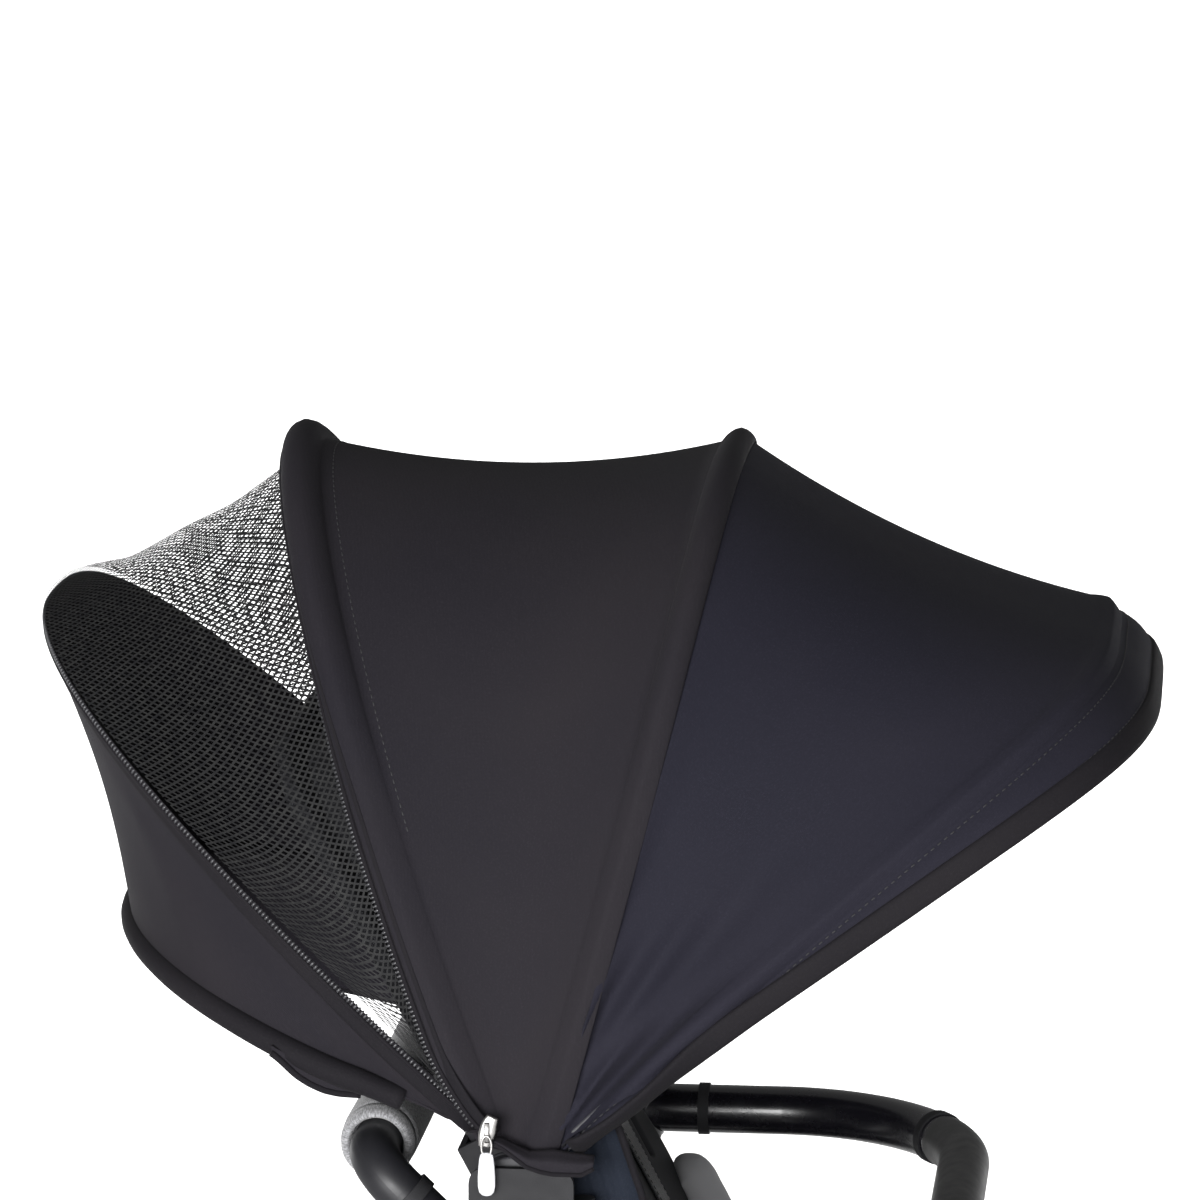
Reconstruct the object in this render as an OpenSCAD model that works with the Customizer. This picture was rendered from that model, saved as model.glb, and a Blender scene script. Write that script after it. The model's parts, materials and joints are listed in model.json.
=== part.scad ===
// Folding baby stroller with a three-bow sun canopy, zip-open rear vent and bumper bar.
// Units are millimetres. +X is forward, +Y is the stroller's left, +Z is up.
// The origin is on the floor, under the middle of the stroller.

/* [Canopy] */
// Radius of the middle bow above the canopy pivot
canopy_r = 384; // [372:1:396]
// Half width of the fabric on the front bow
canopy_half_w = 216; // [213:0.5:219]
// Squareness of the bows: 2 is an ellipse, more is boxier
bow_shape = 2.8; // [2.6:0.1:3]
// Lean of the rear bow, from straight ahead
rear_bow_deg = 110; // [109:0.5:112]
// Lean of the middle bow, from straight ahead
mid_bow_deg = 74; // [70:0.5:78]
// Lean of the front bow, from straight ahead
front_bow_deg = 43.5; // [43.5:0.5:46]
// Lean of the brim's edge, ahead of the front bow
brim_deg = 40; // [38:0.5:41]

/* [Seat] */
// Height of the canopy pivot above the floor
pivot_z = 690; // [680:1:700]
// Lean of the backrest behind upright
back_lean = 28; // [27:0.5:29]
// Length of the backrest from its hinge
back_len = 440; // [420:1:450]
// Half width of the seat
seat_half_w = 148; // [140:1:148]
// Depth of the seat cushion, front to back
cushion_len = 236; // [220:1:246]

/* [Chassis] */
// Radius of the leg tubes
leg_r = 11; // [10:0.5:11]
// Radius of the rear wheels
rear_wheel_r = 85; // [80:1:88]
// Radius of the front wheels
front_wheel_r = 60; // [56:1:61]
// Depth of the basket, top to bottom
basket_depth = 100; // [80:1:105]

/* [Bumper and handle] */
// Radius of the bumper bar tube
bumper_r = 13.5; // [12:0.5:13.5]
// Reach of the bumper bar ahead of its hinge
bumper_reach = 186; // [170:1:196]
// Radius of the padded push handle grip
grip_r = 19; // [17:0.5:20]
// Length of the padded grip
grip_len = 300; // [280:1:302]

/* [Hidden] */

$fn = 64;
slack = 0.05;
left = 1;
right = -1;
steps = 20;

// Canopy pivot and the nested layers of cloth and bows about it
pivot_x = -45;
bow_w = 8;
bow_t = 3;
cloth_t = 2;
hub_free_r = 30;
rear_bow_r = canopy_r - 12;
rear_bow_half_w = canopy_half_w - 13;
mid_panel_r = canopy_r - 6.5;
mid_panel_half_w = canopy_half_w - 10;
mid_bow_half_w = canopy_half_w - 6.5;
front_bow_r = canopy_r + 5.5;
front_bow_half_w = canopy_half_w - 2.5;
front_panel_r = canopy_r + 8;
disc_r = 20;
pin_r = 6;
// How far the cloths reach past the bows that carry them
tuck_deg = 1;

// Rear vent: its own hinge line, the zip edge and the piped lower edge
vent_x = pivot_x - 16.5;
vent_z = pivot_z + 27.7;
vent_half_w = 194;
vent_free_r = 22;
zip_r = 337;
zip_deg = 137;
pipe_path_r = 213;
pipe_deg = 158.6;
mesh_r = 329;
mesh_from_deg = 112;
pipe_t = 9;
panel_gap = 1;
// The flaps: how far inside the piping they are sewn, and the free edge of the left one
// as distance from the pivot along x, then height over it
flap_in = 4;
flap_t = 1.5;
flap_gap = 1.6;
flap_front_r = 58;
flap_rear_r = 208;
flap_edge = [[-216, 96], [-195, 55], [-172, 25], [-141, 8], [-98, -6], [-76, -10], [-66, 12]];

// Main side hinges of the chassis
hub_x = pivot_x + 100;
hub_z = pivot_z - 165;
axle_r = 5;
axle_in = 144;
axle_out = 235;
hub_r = 26;
hub_in = 189;
hub_out = 211;
front_leg_y = 200;
rear_leg_y = 230;
small_hub_r = 20;

// Backrest, measured from its hinge line
shell_back = -34;
shell_t = 12;
pad_t = 18;
bolster_r = 17;
bolster_x = 2;
bolster_y = 126;
bolster_low = 62;
bolster_high = 90;
pad_gap = 0.5;
pad_margin = 4;
wing_in = 186;
wing_t = 6.5;

// Casters and wheels
caster_x = 292;
caster_y = 135;
trail = 22;
socket_r = 17;
socket_low = 137;
socket_high = 185;
swivel_r = 6;
wheel_pin_r = 4;
rear_axle_x = -245;
rear_wheel_y = 265;
rear_wheel_w = 36;
front_wheel_w = 30;
tyre_share = 0.27;

// Seat and basket
pan_z = 462;
pan_t = 8;
cushion_z = 471;
cushion_t = 24;
seat_back_x = 32;
basket_back = -118;
basket_front = 160;
basket_half_w = 143;
basket_top = 297.8;
basket_wall = 3;
wire_r = 4;
wire_half_w = 146;
wire_z = 302;

// Handle and bumper bar
grip_x = pivot_x - 76;
grip_z = pivot_z + 5;
arm_y = 172;
arm_r = 12.5;
elbow_r = 22;
bumper_y = 208;
bumper_z = pivot_z - 66;
bumper_x = pivot_x + 24;
bumper_bend = 105;
sleeve_deg = 62;
lug_pin_r = 4;

// Repeats its children on the left and the right
module both_sides() {
    children();
    mirror([0, 1, 0])
        children();
}

// A rod between two points
module rod(a, b, r) {
    d = b - a;
    translate(a)
        rotate([0, acos(d[2] / norm(d)), atan2(d[1], d[0])])
            cylinder(h = norm(d), r = r);
}

// A disc with its axis across the stroller, on one side, from y0 to y1
module cross_disc(x, z, y0, y1, r, side = left) {
    translate([x, side > 0 ? y1 : -y0, z])
        rotate([90, 0, 0])
            cylinder(h = y1 - y0, r = r);
}

// A plate standing along the stroller, from y0 to y1, with its outline in x and z
module side_plate(points, y0, y1) {
    translate([0, y1, 0])
        rotate([90, 0, 0])
            linear_extrude(height = y1 - y0)
                polygon(points);
}

// Outline of a rectangle with rounded corners, centred on the origin
function rounded(w, h, r, n = 5) = [
    for (q = [0 : 3], i = [0 : n])
        let (a = q * 90 + i * 90 / n,
             sx = (q == 0 || q == 3) ? 1 : -1,
             sy = q < 2 ? 1 : -1)
        [sx * (w / 2 - r) + r * cos(a), sy * (h / 2 - r) + r * sin(a)]
];

// Furthest sweep along a bow that stays clear of the pivot
function bow_end(r, n, free_r) = acos(pow(free_r / r, n / 2));

// A point on a bow: distance from the hinge line, and distance across
function bow_point(r, w, n, t) = [
    r * pow(cos(t), 2 / n),
    w * sign(t) * pow(abs(sin(t)), 2 / n)
];

// A strip that follows a bow, as an outline of distance against width
function bow_strip(r, w, thick, free_r = hub_free_r) =
    let (end = bow_end(r, bow_shape, free_r),
         ts = [for (i = [0 : steps]) end * (2 * i / steps - 1)])
    concat(
        [for (t = ts) bow_point(r, w, bow_shape, t)],
        [for (i = [0 : steps]) bow_point(r - thick, w - thick, bow_shape, ts[steps - i])]
    );

// A flat bow standing at an angle about a hinge line
module bow(x, z, deg, r, w, thick, wide, free_r = hub_free_r) {
    translate([x, 0, z])
        rotate([0, -deg, 0])
            linear_extrude(height = wide, center = true)
                polygon(bow_strip(r, w, thick, free_r));
}

// Stretched cloth turned about a hinge line, between two angles
module cloth(x, z, from, to, r, w, thick, free_r = hub_free_r) {
    translate([x, 0, z])
        rotate([90, 0, 0])
            rotate([0, 0, from])
                rotate_extrude(angle = to - from)
                    polygon(bow_strip(r, w, thick, free_r));
}

// Places its children in the frame of the backrest, z up along it and x to its front
module back_frame() {
    translate([hub_x, 0, hub_z])
        rotate([0, -back_lean, 0])
            children();
}

// The canopy pivot, in the frame of the backrest
pivot_back_x = (pivot_x - hub_x) * cos(back_lean) + (pivot_z - hub_z) * sin(back_lean);
pivot_back_z = (pivot_z - hub_z) * cos(back_lean) - (pivot_x - hub_x) * sin(back_lean);

// A point down the front leg on the left, where t runs from the hub to the caster
leg_top = [hub_x, front_leg_y, hub_z];
leg_foot = [caster_x, caster_y, 155];
function leg_point(t) = leg_top + t * (leg_foot - leg_top);
function right_side(p) = [p[0], -p[1], p[2]];

// A point down the rear leg, where t runs from the hub to the axle
function rear_point(t, y) = [
    hub_x + t * (rear_axle_x - hub_x), y, hub_z + t * (rear_wheel_r - hub_z)
];

// ---- Chassis ----

module side_hubs() {
    color([0.10, 0.10, 0.11])
        both_sides()
            difference() {
                union() {
                    cross_disc(hub_x, hub_z, hub_in, hub_out, hub_r);
                    rod(leg_point(0.03), leg_point(0.12), leg_r + 3.5);
                }
                cross_disc(hub_x, hub_z, hub_in - 1, hub_out + 1, axle_r + slack);
                rod(leg_point(0.066), leg_point(0.2), leg_r + slack);
            }
}

module hub_axles() {
    color([0.75, 0.76, 0.78])
        both_sides()
            cross_disc(hub_x, hub_z, axle_in, axle_out, axle_r);
}

module front_legs() {
    cross_t = [0.27, 0.82];
    wall = 1.6;
    bore_r = leg_r - wall;
    color([0.07, 0.07, 0.08])
        difference() {
            union() {
                both_sides()
                    rod(leg_point(0.07), leg_point(1), leg_r);
                for (t = cross_t)
                    rod(leg_point(t), right_side(leg_point(t)), leg_r - 2);
            }
            both_sides()
                rod(leg_point(0.06), leg_point(1.02), bore_r);
            both_sides()
                translate([caster_x, caster_y, socket_low - 40])
                    cylinder(h = 120, r = socket_r + slack);
        }
}

module caster_sockets() {
    color([0.10, 0.10, 0.11])
        both_sides()
            difference() {
                translate([caster_x, caster_y, socket_low])
                    cylinder(h = socket_high - socket_low, r = socket_r);
                translate([caster_x, caster_y, socket_low - 1])
                    cylinder(h = socket_high - socket_low - 5, r = swivel_r + slack);
            }
}

// Arm from the side hub up to the end of the bumper bar
module armrest_arm() {
    y0 = 196;
    y1 = 210;
    low = bumper_z - 14;
    difference() {
        side_plate([
            [hub_x - 10, hub_z - 4], [hub_x + 6, hub_z + 24],
            [pivot_x + 14, low - 20], [pivot_x + 12, bumper_z],
            [pivot_x - 12, bumper_z], [pivot_x - 14, low - 30]
        ], y0, y1);
        cross_disc(hub_x, hub_z, y0 - 1, y1 + 1, hub_r + slack);
    }
}

module armrest_brackets() {
    lug_t = 4;
    lug_gap = bumper_r + 1.5;
    color([0.09, 0.09, 0.10]) {
        // Right end: a socket that the bar plugs into
        difference() {
            union() {
                mirror([0, 1, 0])
                    armrest_arm();
                rod([pivot_x - 12, -bumper_y, bumper_z], [bumper_x - 2, -bumper_y, bumper_z], bumper_r);
            }
            rod([pivot_x - 6, -bumper_y, bumper_z], [bumper_x + 2, -bumper_y, bumper_z], 9.8);
        }
        // Left end: two lugs and a pin that the bar swings on
        difference() {
            union() {
                armrest_arm();
                translate([pivot_x - 12, bumper_y - 12, bumper_z - lug_gap])
                    cube([18, 24, 2 * lug_gap]);
                for (s = [-1, 1])
                    translate([pivot_x - 12, bumper_y - 12, bumper_z + s * (lug_gap + lug_t / 2) - lug_t / 2])
                        cube([bumper_x - pivot_x + 24, 24, lug_t]);
                rod([bumper_x, bumper_y, bumper_z - lug_gap - 1],
                    [bumper_x, bumper_y, bumper_z + lug_gap + 1], lug_pin_r);
            }
            difference() {
                rod([bumper_x, bumper_y, bumper_z - lug_gap],
                    [bumper_x, bumper_y, bumper_z + lug_gap], bumper_r + 1.5);
                rod([bumper_x, bumper_y, bumper_z - lug_gap - 1],
                    [bumper_x, bumper_y, bumper_z + lug_gap + 1], lug_pin_r);
            }
        }
    }
}

module seat_pan() {
    color([0.12, 0.12, 0.13])
        translate([seat_back_x + cushion_len / 2 - 4, 0, pan_z])
            linear_extrude(height = pan_t)
                polygon(rounded(cushion_len - 8, 2 * seat_half_w - 8, 30));
}

module seat_supports() {
    tube = leg_point(0.27);
    color([0.10, 0.10, 0.11])
        for (y = [-80, 80])
            difference() {
                translate([tube[0] - 18, y - 14, tube[2] + 2])
                    cube([50, 28, pan_z - tube[2] - 2 - slack]);
                rod([tube[0], y - 20, tube[2]], [tube[0], y + 20, tube[2]], leg_r - 2 + slack);
            }
}

module seat_cushion() {
    color([0.55, 0.56, 0.58])
        translate([seat_back_x + cushion_len / 2, 0, cushion_z])
            linear_extrude(height = cushion_t)
                polygon(rounded(cushion_len, 2 * seat_half_w, 34));
}

module footrest() {
    tube = leg_point(0.82);
    half_w = 118;
    tread_t = 8;
    color([0.09, 0.09, 0.10])
        difference() {
            union() {
                translate([tube[0] - 14, -half_w, tube[2] - 4])
                    cube([28, 2 * half_w, 17]);
                translate([tube[0] - 14, -half_w, tube[2] + 5])
                    cube([62, 2 * half_w, tread_t]);
            }
            rod([tube[0], -half_w - 5, tube[2]], [tube[0], half_w + 5, tube[2]], leg_r - 2 + slack);
        }
}

module basket_frame() {
    t = (hub_z - wire_z) / (hub_z - leg_foot[2]);
    tie = leg_point(t);
    back = basket_back - 1;
    bend = 30;
    color([0.13, 0.13, 0.14]) {
        both_sides()
            difference() {
                union() {
                    rod(leg_point(t - 0.028), leg_point(t + 0.028), leg_r + 3);
                    rod([back + bend, wire_half_w, wire_z], [tie[0] - 4, wire_half_w, wire_z], wire_r);
                    translate([back + bend, wire_half_w - bend, wire_z])
                        rotate([0, 0, 90])
                            rotate_extrude(angle = 90)
                                translate([bend, 0])
                                    circle(r = wire_r);
                }
                rod(leg_point(t - 0.1), leg_point(t + 0.1), leg_r + slack);
            }
        rod([back, bend - wire_half_w, wire_z], [back, wire_half_w - bend, wire_z], wire_r);
    }
}

module basket() {
    length = basket_front - basket_back;
    mid_x = (basket_front + basket_back) / 2;
    color([0.08, 0.08, 0.09])
        difference() {
            translate([mid_x, 0, basket_top - basket_depth])
                linear_extrude(height = basket_depth)
                    polygon(rounded(length, 2 * basket_half_w, 30));
            translate([mid_x, 0, basket_top - basket_depth + basket_wall])
                linear_extrude(height = basket_depth)
                    polygon(rounded(length - 2 * basket_wall, 2 * (basket_half_w - basket_wall), 27));
        }
}

// ---- Harness on the seat ----

strap_w = 25;
strap_t = 1.6;
strap_z = cushion_z + cushion_t + 0.2;
buckle_x = 148;

module crotch_strap() {
    color([0.05, 0.05, 0.06])
        translate([buckle_x + 24, -strap_w / 2, strap_z])
            cube([50, strap_w, strap_t]);
}

module lap_straps() {
    color([0.05, 0.05, 0.06])
        both_sides()
            linear_extrude_at(strap_z)
                polygon([[buckle_x - 12, 25], [buckle_x + 12, 25], [buckle_x - 20, 118],
                         [buckle_x - 44, 118]]);
}

module linear_extrude_at(z) {
    translate([0, 0, z])
        linear_extrude(height = strap_t)
            children();
}

module harness_buckle() {
    color([0.06, 0.06, 0.07])
        difference() {
            translate([buckle_x, 0, strap_z])
                linear_extrude(height = 15)
                    polygon(rounded(46, 46, 10));
            translate([buckle_x, 0, strap_z + 9])
                cylinder(h = 10, r = 12 + 2 * slack);
        }
}

module buckle_button() {
    color([0.45, 0.46, 0.48])
        translate([buckle_x, 0, strap_z + 12.2])
            cylinder(h = 5, r = 12);
}

// ---- Seat back ----

module backrest_shell() {
    tab_in = 140;
    color([0.10, 0.10, 0.11])
        back_frame()
            difference() {
                union() {
                    translate([shell_back, 0, back_len / 2 - 2])
                        rotate([90, 0, 90])
                            linear_extrude(height = shell_t)
                                polygon(rounded(2 * seat_half_w, back_len + 4, 46));
                    both_sides() {
                        cross_disc(0, 0, 151, 158, small_hub_r);
                        translate([shell_back, tab_in, 4])
                            cube([small_hub_r - shell_back - 12, 158 - tab_in, 46]);
                    }
                }
                both_sides()
                    cross_disc(0, 0, 130, 160, axle_r + slack);
                // Leaves room for the hinge axle inside the tabs
                both_sides()
                    cross_disc(0, 0, 130, 151, axle_r + 1);
            }
}

module backrest_pad() {
    top = back_len - 2 * pad_margin;
    bottom = 60;
    color([0.08, 0.08, 0.09])
        back_frame()
            translate([shell_back + shell_t + pad_gap, 0, (top + bottom) / 2])
                rotate([90, 0, 90])
                    linear_extrude(height = pad_t)
                        polygon(rounded(2 * (seat_half_w - pad_margin), top - bottom, 42));
}

// Soft round bolsters on the backrest, one on each side, each cut flat where it meets the pad
module seat_bolsters() {
    flat_x = shell_back + shell_t + pad_t + 2 * pad_gap;
    cut = 2 * bolster_r;
    color([0.55, 0.56, 0.58])
        back_frame()
            both_sides()
                difference() {
                    union() {
                        rod([bolster_x, bolster_y, bolster_low], [bolster_x, bolster_y, bolster_high], bolster_r);
                        translate([bolster_x, bolster_y, bolster_high])
                            sphere(r = bolster_r);
                    }
                    translate([flat_x - cut, bolster_y - cut, bolster_low - cut])
                        cube([cut, 2 * cut, bolster_high - bolster_low + 2 * cut]);
                }
}

module side_wings() {
    back = -26;
    low = 128;
    high = 205;
    color([0.06, 0.07, 0.10])
        back_frame()
            both_sides()
                difference() {
                    side_plate([
                        [back, low], [back + 11, low + 3], [29, low + 14], [39, low + 19], [43, high - 45],
                        [49, high - 6], [43, high], [back, high]
                    ], wing_in, wing_in + wing_t);
                    cross_disc(pivot_back_x, pivot_back_z, wing_in - 1, wing_in + wing_t + 1, pin_r + slack);
                }
}

// Plates bolted round the edges of the backrest, each with the pin that the bows turn on
module canopy_pins() {
    plate_h = 42;
    side_y = seat_half_w + 0.3;
    plate_t = 4;
    back_x = shell_back - slack - plate_t;
    color([0.09, 0.09, 0.10])
        both_sides() {
            cross_disc(pivot_x, pivot_z, side_y, canopy_half_w + 1.4, pin_r);
            back_frame() {
                translate([back_x, side_y, pivot_back_z - plate_h / 2])
                    cube([-back_x, plate_t, plate_h]);
                translate([back_x, side_y - 30, pivot_back_z - plate_h / 2])
                    cube([plate_t, 30 + plate_t, plate_h]);
            }
        }
}

// Flat covers over the canopy pivots, each carrying a short upright tube ahead of it
module bracket_covers() {
    inner = canopy_half_w + 1.5;
    plate_t = 4;
    post_x = pivot_x + 35;
    post_y = 206;
    color([0.09, 0.09, 0.10])
        both_sides() {
            translate([pivot_x + 6, inner + plate_t, pivot_z - 12])
                rotate([90, 0, 0])
                    linear_extrude(height = plate_t)
                        polygon(rounded(52, 56, 8));
            rod([post_x, post_y, pivot_z - 38], [post_x, post_y, pivot_z - 2], pin_r);
            translate([post_x - 7, post_y, pivot_z - 36])
                cube([8, inner + plate_t - post_y, 10]);
        }
}

// ---- Canopy ----

// A bow and its two end discs, drilled for the pivot pin
module bow_with_discs(deg, r, w, y0, y1) {
    tie_from = disc_r - 4;
    tie_in = 0.4;
    difference() {
        union() {
            bow(pivot_x, pivot_z, deg, r, w, bow_t, bow_w);
            both_sides() {
                cross_disc(pivot_x, pivot_z, y0, y1, disc_r);
                translate([pivot_x, 0, pivot_z])
                    rotate([0, -deg, 0])
                        translate([tie_from, w - bow_t + tie_in, tie_in - bow_w / 2])
                            cube([hub_free_r + 8 - tie_from, bow_t - 2 * tie_in, bow_w - 2 * tie_in]);
            }
        }
        both_sides()
            cross_disc(pivot_x, pivot_z, y0 - 5, y1 + 5, pin_r + slack);
    }
}

module rear_bow() {
    color([0.14, 0.14, 0.15])
        bow_with_discs(rear_bow_deg, rear_bow_r, rear_bow_half_w, rear_bow_half_w - 6, rear_bow_half_w);
}

module mid_bow() {
    color([0.14, 0.14, 0.15])
        bow_with_discs(mid_bow_deg, canopy_r, mid_bow_half_w, rear_bow_half_w + 1, mid_bow_half_w);
}

module front_bow() {
    color([0.14, 0.14, 0.15])
        bow_with_discs(front_bow_deg, front_bow_r, front_bow_half_w, mid_bow_half_w + 0.8, front_bow_half_w);
}

module mid_panel() {
    color([0.05, 0.05, 0.06])
        cloth(pivot_x, pivot_z, mid_bow_deg + 1.5, rear_bow_deg + tuck_deg, mid_panel_r, mid_panel_half_w, cloth_t);
}

module upper_zip() {
    color([0.03, 0.03, 0.04])
        cloth(pivot_x, pivot_z, rear_bow_deg + 1.1, rear_bow_deg + 2.6, mid_panel_r, mid_panel_half_w, cloth_t);
}

module front_panel() {
    color([0.05, 0.05, 0.06])
        cloth(pivot_x, pivot_z, brim_deg - tuck_deg, mid_bow_deg + tuck_deg, front_panel_r, canopy_half_w, cloth_t);
}

module brim_binding() {
    color([0.04, 0.04, 0.05])
        cloth(pivot_x, pivot_z, brim_deg - 2.4, brim_deg - 1.05, front_panel_r, canopy_half_w, cloth_t);
}

// ---- Rear vent ----

module vent_mesh() {
    color([0.12, 0.12, 0.12])
        cloth(vent_x, vent_z, mesh_from_deg, zip_deg - 1.6, mesh_r, vent_half_w - 4, 1.4, vent_free_r);
}

module lower_zip() {
    color([0.03, 0.03, 0.04])
        cloth(vent_x, vent_z, zip_deg - 1.5, zip_deg, mesh_r, vent_half_w - 4, cloth_t, vent_free_r);
}

// One corner of the rear panel: the share runs from the zip down to the piping
function panel_point(share, t, inset) =
    let (a = bow_point(zip_r - inset, vent_half_w - inset, bow_shape, t),
         b = bow_point(pipe_path_r - inset, vent_half_w - inset, bow_shape, t),
         dir_a = [cos(zip_deg + 0.3), sin(zip_deg + 0.3)],
         low_deg = pipe_deg - asin((pipe_t / 2 + panel_gap) / b[0]),
         dir_b = [cos(low_deg), sin(low_deg)],
         p = (1 - share) * a[0] * dir_a + share * b[0] * dir_b,
         y = (1 - share) * a[1] + share * b[1])
    [vent_x + p[0], y, vent_z + p[1]];

module rear_panel() {
    end = bow_end(zip_r, bow_shape, vent_free_r + 16);
    rows = steps + 1;
    shares = [0, 1];
    insets = [0, cloth_t];
    points = [
        for (inset = insets, share = shares, i = [0 : steps])
            panel_point(share, end * (2 * i / steps - 1), inset)
    ];
    // Corner numbers: outside zip, outside piping, inside zip, inside piping
    function at(row, i) = row * rows + i;
    bands = [[0, 1], [1, 3], [3, 2], [2, 0]];
    faces = concat(
        [for (b = bands, i = [0 : steps - 1]) [at(b[0], i), at(b[0], i + 1), at(b[1], i)]],
        [for (b = bands, i = [0 : steps - 1]) [at(b[0], i + 1), at(b[1], i + 1), at(b[1], i)]],
        [[at(0, 0), at(1, 0), at(3, 0), at(2, 0)]],
        [[at(2, steps), at(3, steps), at(1, steps), at(0, steps)]]
    );
    color([0.05, 0.05, 0.06])
        polyhedron(points = points, faces = faces);
}

module panel_piping() {
    color([0.04, 0.04, 0.05])
        bow(vent_x, vent_z, pipe_deg + 0.3, pipe_path_r + 4, vent_half_w + 2, pipe_t, pipe_t, 56);
}

// One corner of the left flap, which hangs from the piping: edge 0 is its top and 1 its free edge
function flap_point(edge, t, inset) =
    let (b = bow_point(pipe_path_r - flap_in - inset, vent_half_w - flap_in - inset, bow_shape, t),
         x = vent_x + b[0] * cos(pipe_deg),
         top = vent_z + b[0] * sin(pipe_deg) - pipe_t / 2 - flap_gap,
         low = min(top - 1, pivot_z + lookup(x - pivot_x, flap_edge)))
    [x, b[1], edge == 0 ? top : low];

// Cloth flaps sewn inside the piping: the left one hangs down, the right one is folded up
module side_flaps() {
    first = bow_end(pipe_path_r, bow_shape, flap_front_r);
    last = bow_end(pipe_path_r, bow_shape, flap_rear_r);
    rows = steps + 1;
    points = [
        for (inset = [0, flap_t], edge = [0, 1], i = [0 : steps])
            flap_point(edge, first + (last - first) * i / steps, inset)
    ];
    // Corner numbers: outside top, outside free edge, inside top, inside free edge
    function at(row, i) = row * rows + i;
    bands = [[0, 1], [1, 3], [3, 2], [2, 0]];
    faces = concat(
        [for (b = bands, i = [0 : steps - 1]) [at(b[0], i), at(b[0], i + 1), at(b[1], i)]],
        [for (b = bands, i = [0 : steps - 1]) [at(b[0], i + 1), at(b[1], i + 1), at(b[1], i)]],
        [[at(0, 0), at(1, 0), at(3, 0), at(2, 0)]],
        [[at(2, steps), at(3, steps), at(1, steps), at(0, steps)]]
    );
    right_y = vent_half_w - flap_in - flap_t;
    color([0.05, 0.05, 0.06]) {
        polyhedron(points = points, faces = faces);
        translate([pivot_x, 0, pivot_z])
            side_plate([
                [-139, 68.6], [-132, 64], [-120, 58], [-110, 51], [-101, 46], [-92, 43.2], [-84, 42.6],
                [-78, 44.6]
            ], -right_y - flap_t, -right_y);
    }
}

module zip_slider() {
    y0 = canopy_half_w + 2;
    color([0.78, 0.78, 0.80])
        difference() {
            translate([pivot_x - 16, -y0 - 6, pivot_z + 27])
                cube([11, 6, 15]);
            translate([pivot_x - 17, -y0 - 3.5, pivot_z + 33])
                cube([13, 1.6, 12]);
        }
}

module zip_tag() {
    y0 = canopy_half_w + 8.3;
    hinge_z = pivot_z + 30;
    tag_w = 10;
    tag_len = 30;
    tag_t = 2.4;
    hole_r = 1.8;
    above_hole = 4;
    color([0.85, 0.86, 0.88])
        translate([pivot_x - 10.5, -y0, hinge_z])
            rotate([90, 0, 0])
                linear_extrude(height = tag_t)
                    difference() {
                        translate([0, above_hole - tag_len / 2])
                            polygon(rounded(tag_w, tag_len, 4));
                        circle(r = hole_r);
                    }
}

module shoulder_straps() {
    front_x = shell_back + shell_t + pad_t + 0.8;
    low = 64;
    high = back_len - 110;
    inner_y = 34;
    color([0.05, 0.05, 0.06])
        back_frame()
            both_sides()
                translate([front_x, inner_y, low])
                    cube([strap_t, strap_w, high - low]);
}

// ---- Push handle ----

arm_dir_deg = atan2(grip_z - hub_z, grip_x - hub_x);
arm_len = norm([grip_x - hub_x, grip_z - hub_z]);

// Places its children at the hub, with x running up the handle arm
module arm_frame() {
    translate([hub_x, 0, hub_z])
        rotate([0, -arm_dir_deg, 0])
            children();
}

module handle_frame() {
    color([0.08, 0.08, 0.09])
        arm_frame() {
            both_sides()
                difference() {
                    union() {
                        cross_disc(0, 0, arm_y - 12, arm_y + 10, small_hub_r);
                        rod([small_hub_r - 6, arm_y, 0], [arm_len - elbow_r, arm_y, 0], arm_r);
                        translate([arm_len - elbow_r, arm_y - elbow_r, 0])
                            rotate_extrude(angle = 90)
                                translate([elbow_r, 0])
                                    circle(r = arm_r);
                    }
                    cross_disc(0, 0, arm_y - 14, arm_y + 14, axle_r + slack);
                }
            rod([arm_len, elbow_r - arm_y, 0], [arm_len, arm_y - elbow_r, 0], arm_r);
        }
}

module handle_grip() {
    color([0.50, 0.51, 0.53])
        arm_frame()
            difference() {
                rod([arm_len, -grip_len / 2 + 5, 0], [arm_len, grip_len / 2 - 5, 0], grip_r);
                rod([arm_len, -grip_len, 0], [arm_len, grip_len, 0], arm_r + slack);
                // The sleeve is cut back at its ends so that the elbows can turn out of it
                both_sides()
                    translate([arm_len - elbow_r, arm_y - elbow_r, 0])
                        rotate_extrude(angle = 90)
                            translate([elbow_r, 0])
                                circle(r = arm_r + 0.2);
            }
}

module handle_collars() {
    color([0.11, 0.11, 0.12])
        arm_frame()
            both_sides()
                for (x = [arm_len - elbow_r - 10, arm_len - elbow_r - 70])
                    difference() {
                        rod([x, arm_y, 0], [x + 7, arm_y, 0], arm_r + 1.6);
                        rod([x - 1, arm_y, 0], [x + 8, arm_y, 0], arm_r + slack);
                    }
}

// ---- Bumper bar ----

bend_x = bumper_x + bumper_reach - bumper_bend;
bend_y = bumper_y - bumper_bend;

// Part of the bar's corner bend on the left, between two angles from the side leg
module bumper_arc(from, to, r, inner = 0) {
    translate([bend_x, bend_y, bumper_z])
        rotate([0, 0, 90 - to])
            rotate_extrude(angle = to - from)
                translate([bumper_bend, 0])
                    difference() {
                        circle(r = r);
                        if (inner > 0)
                            circle(r = inner);
                    }
}

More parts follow.
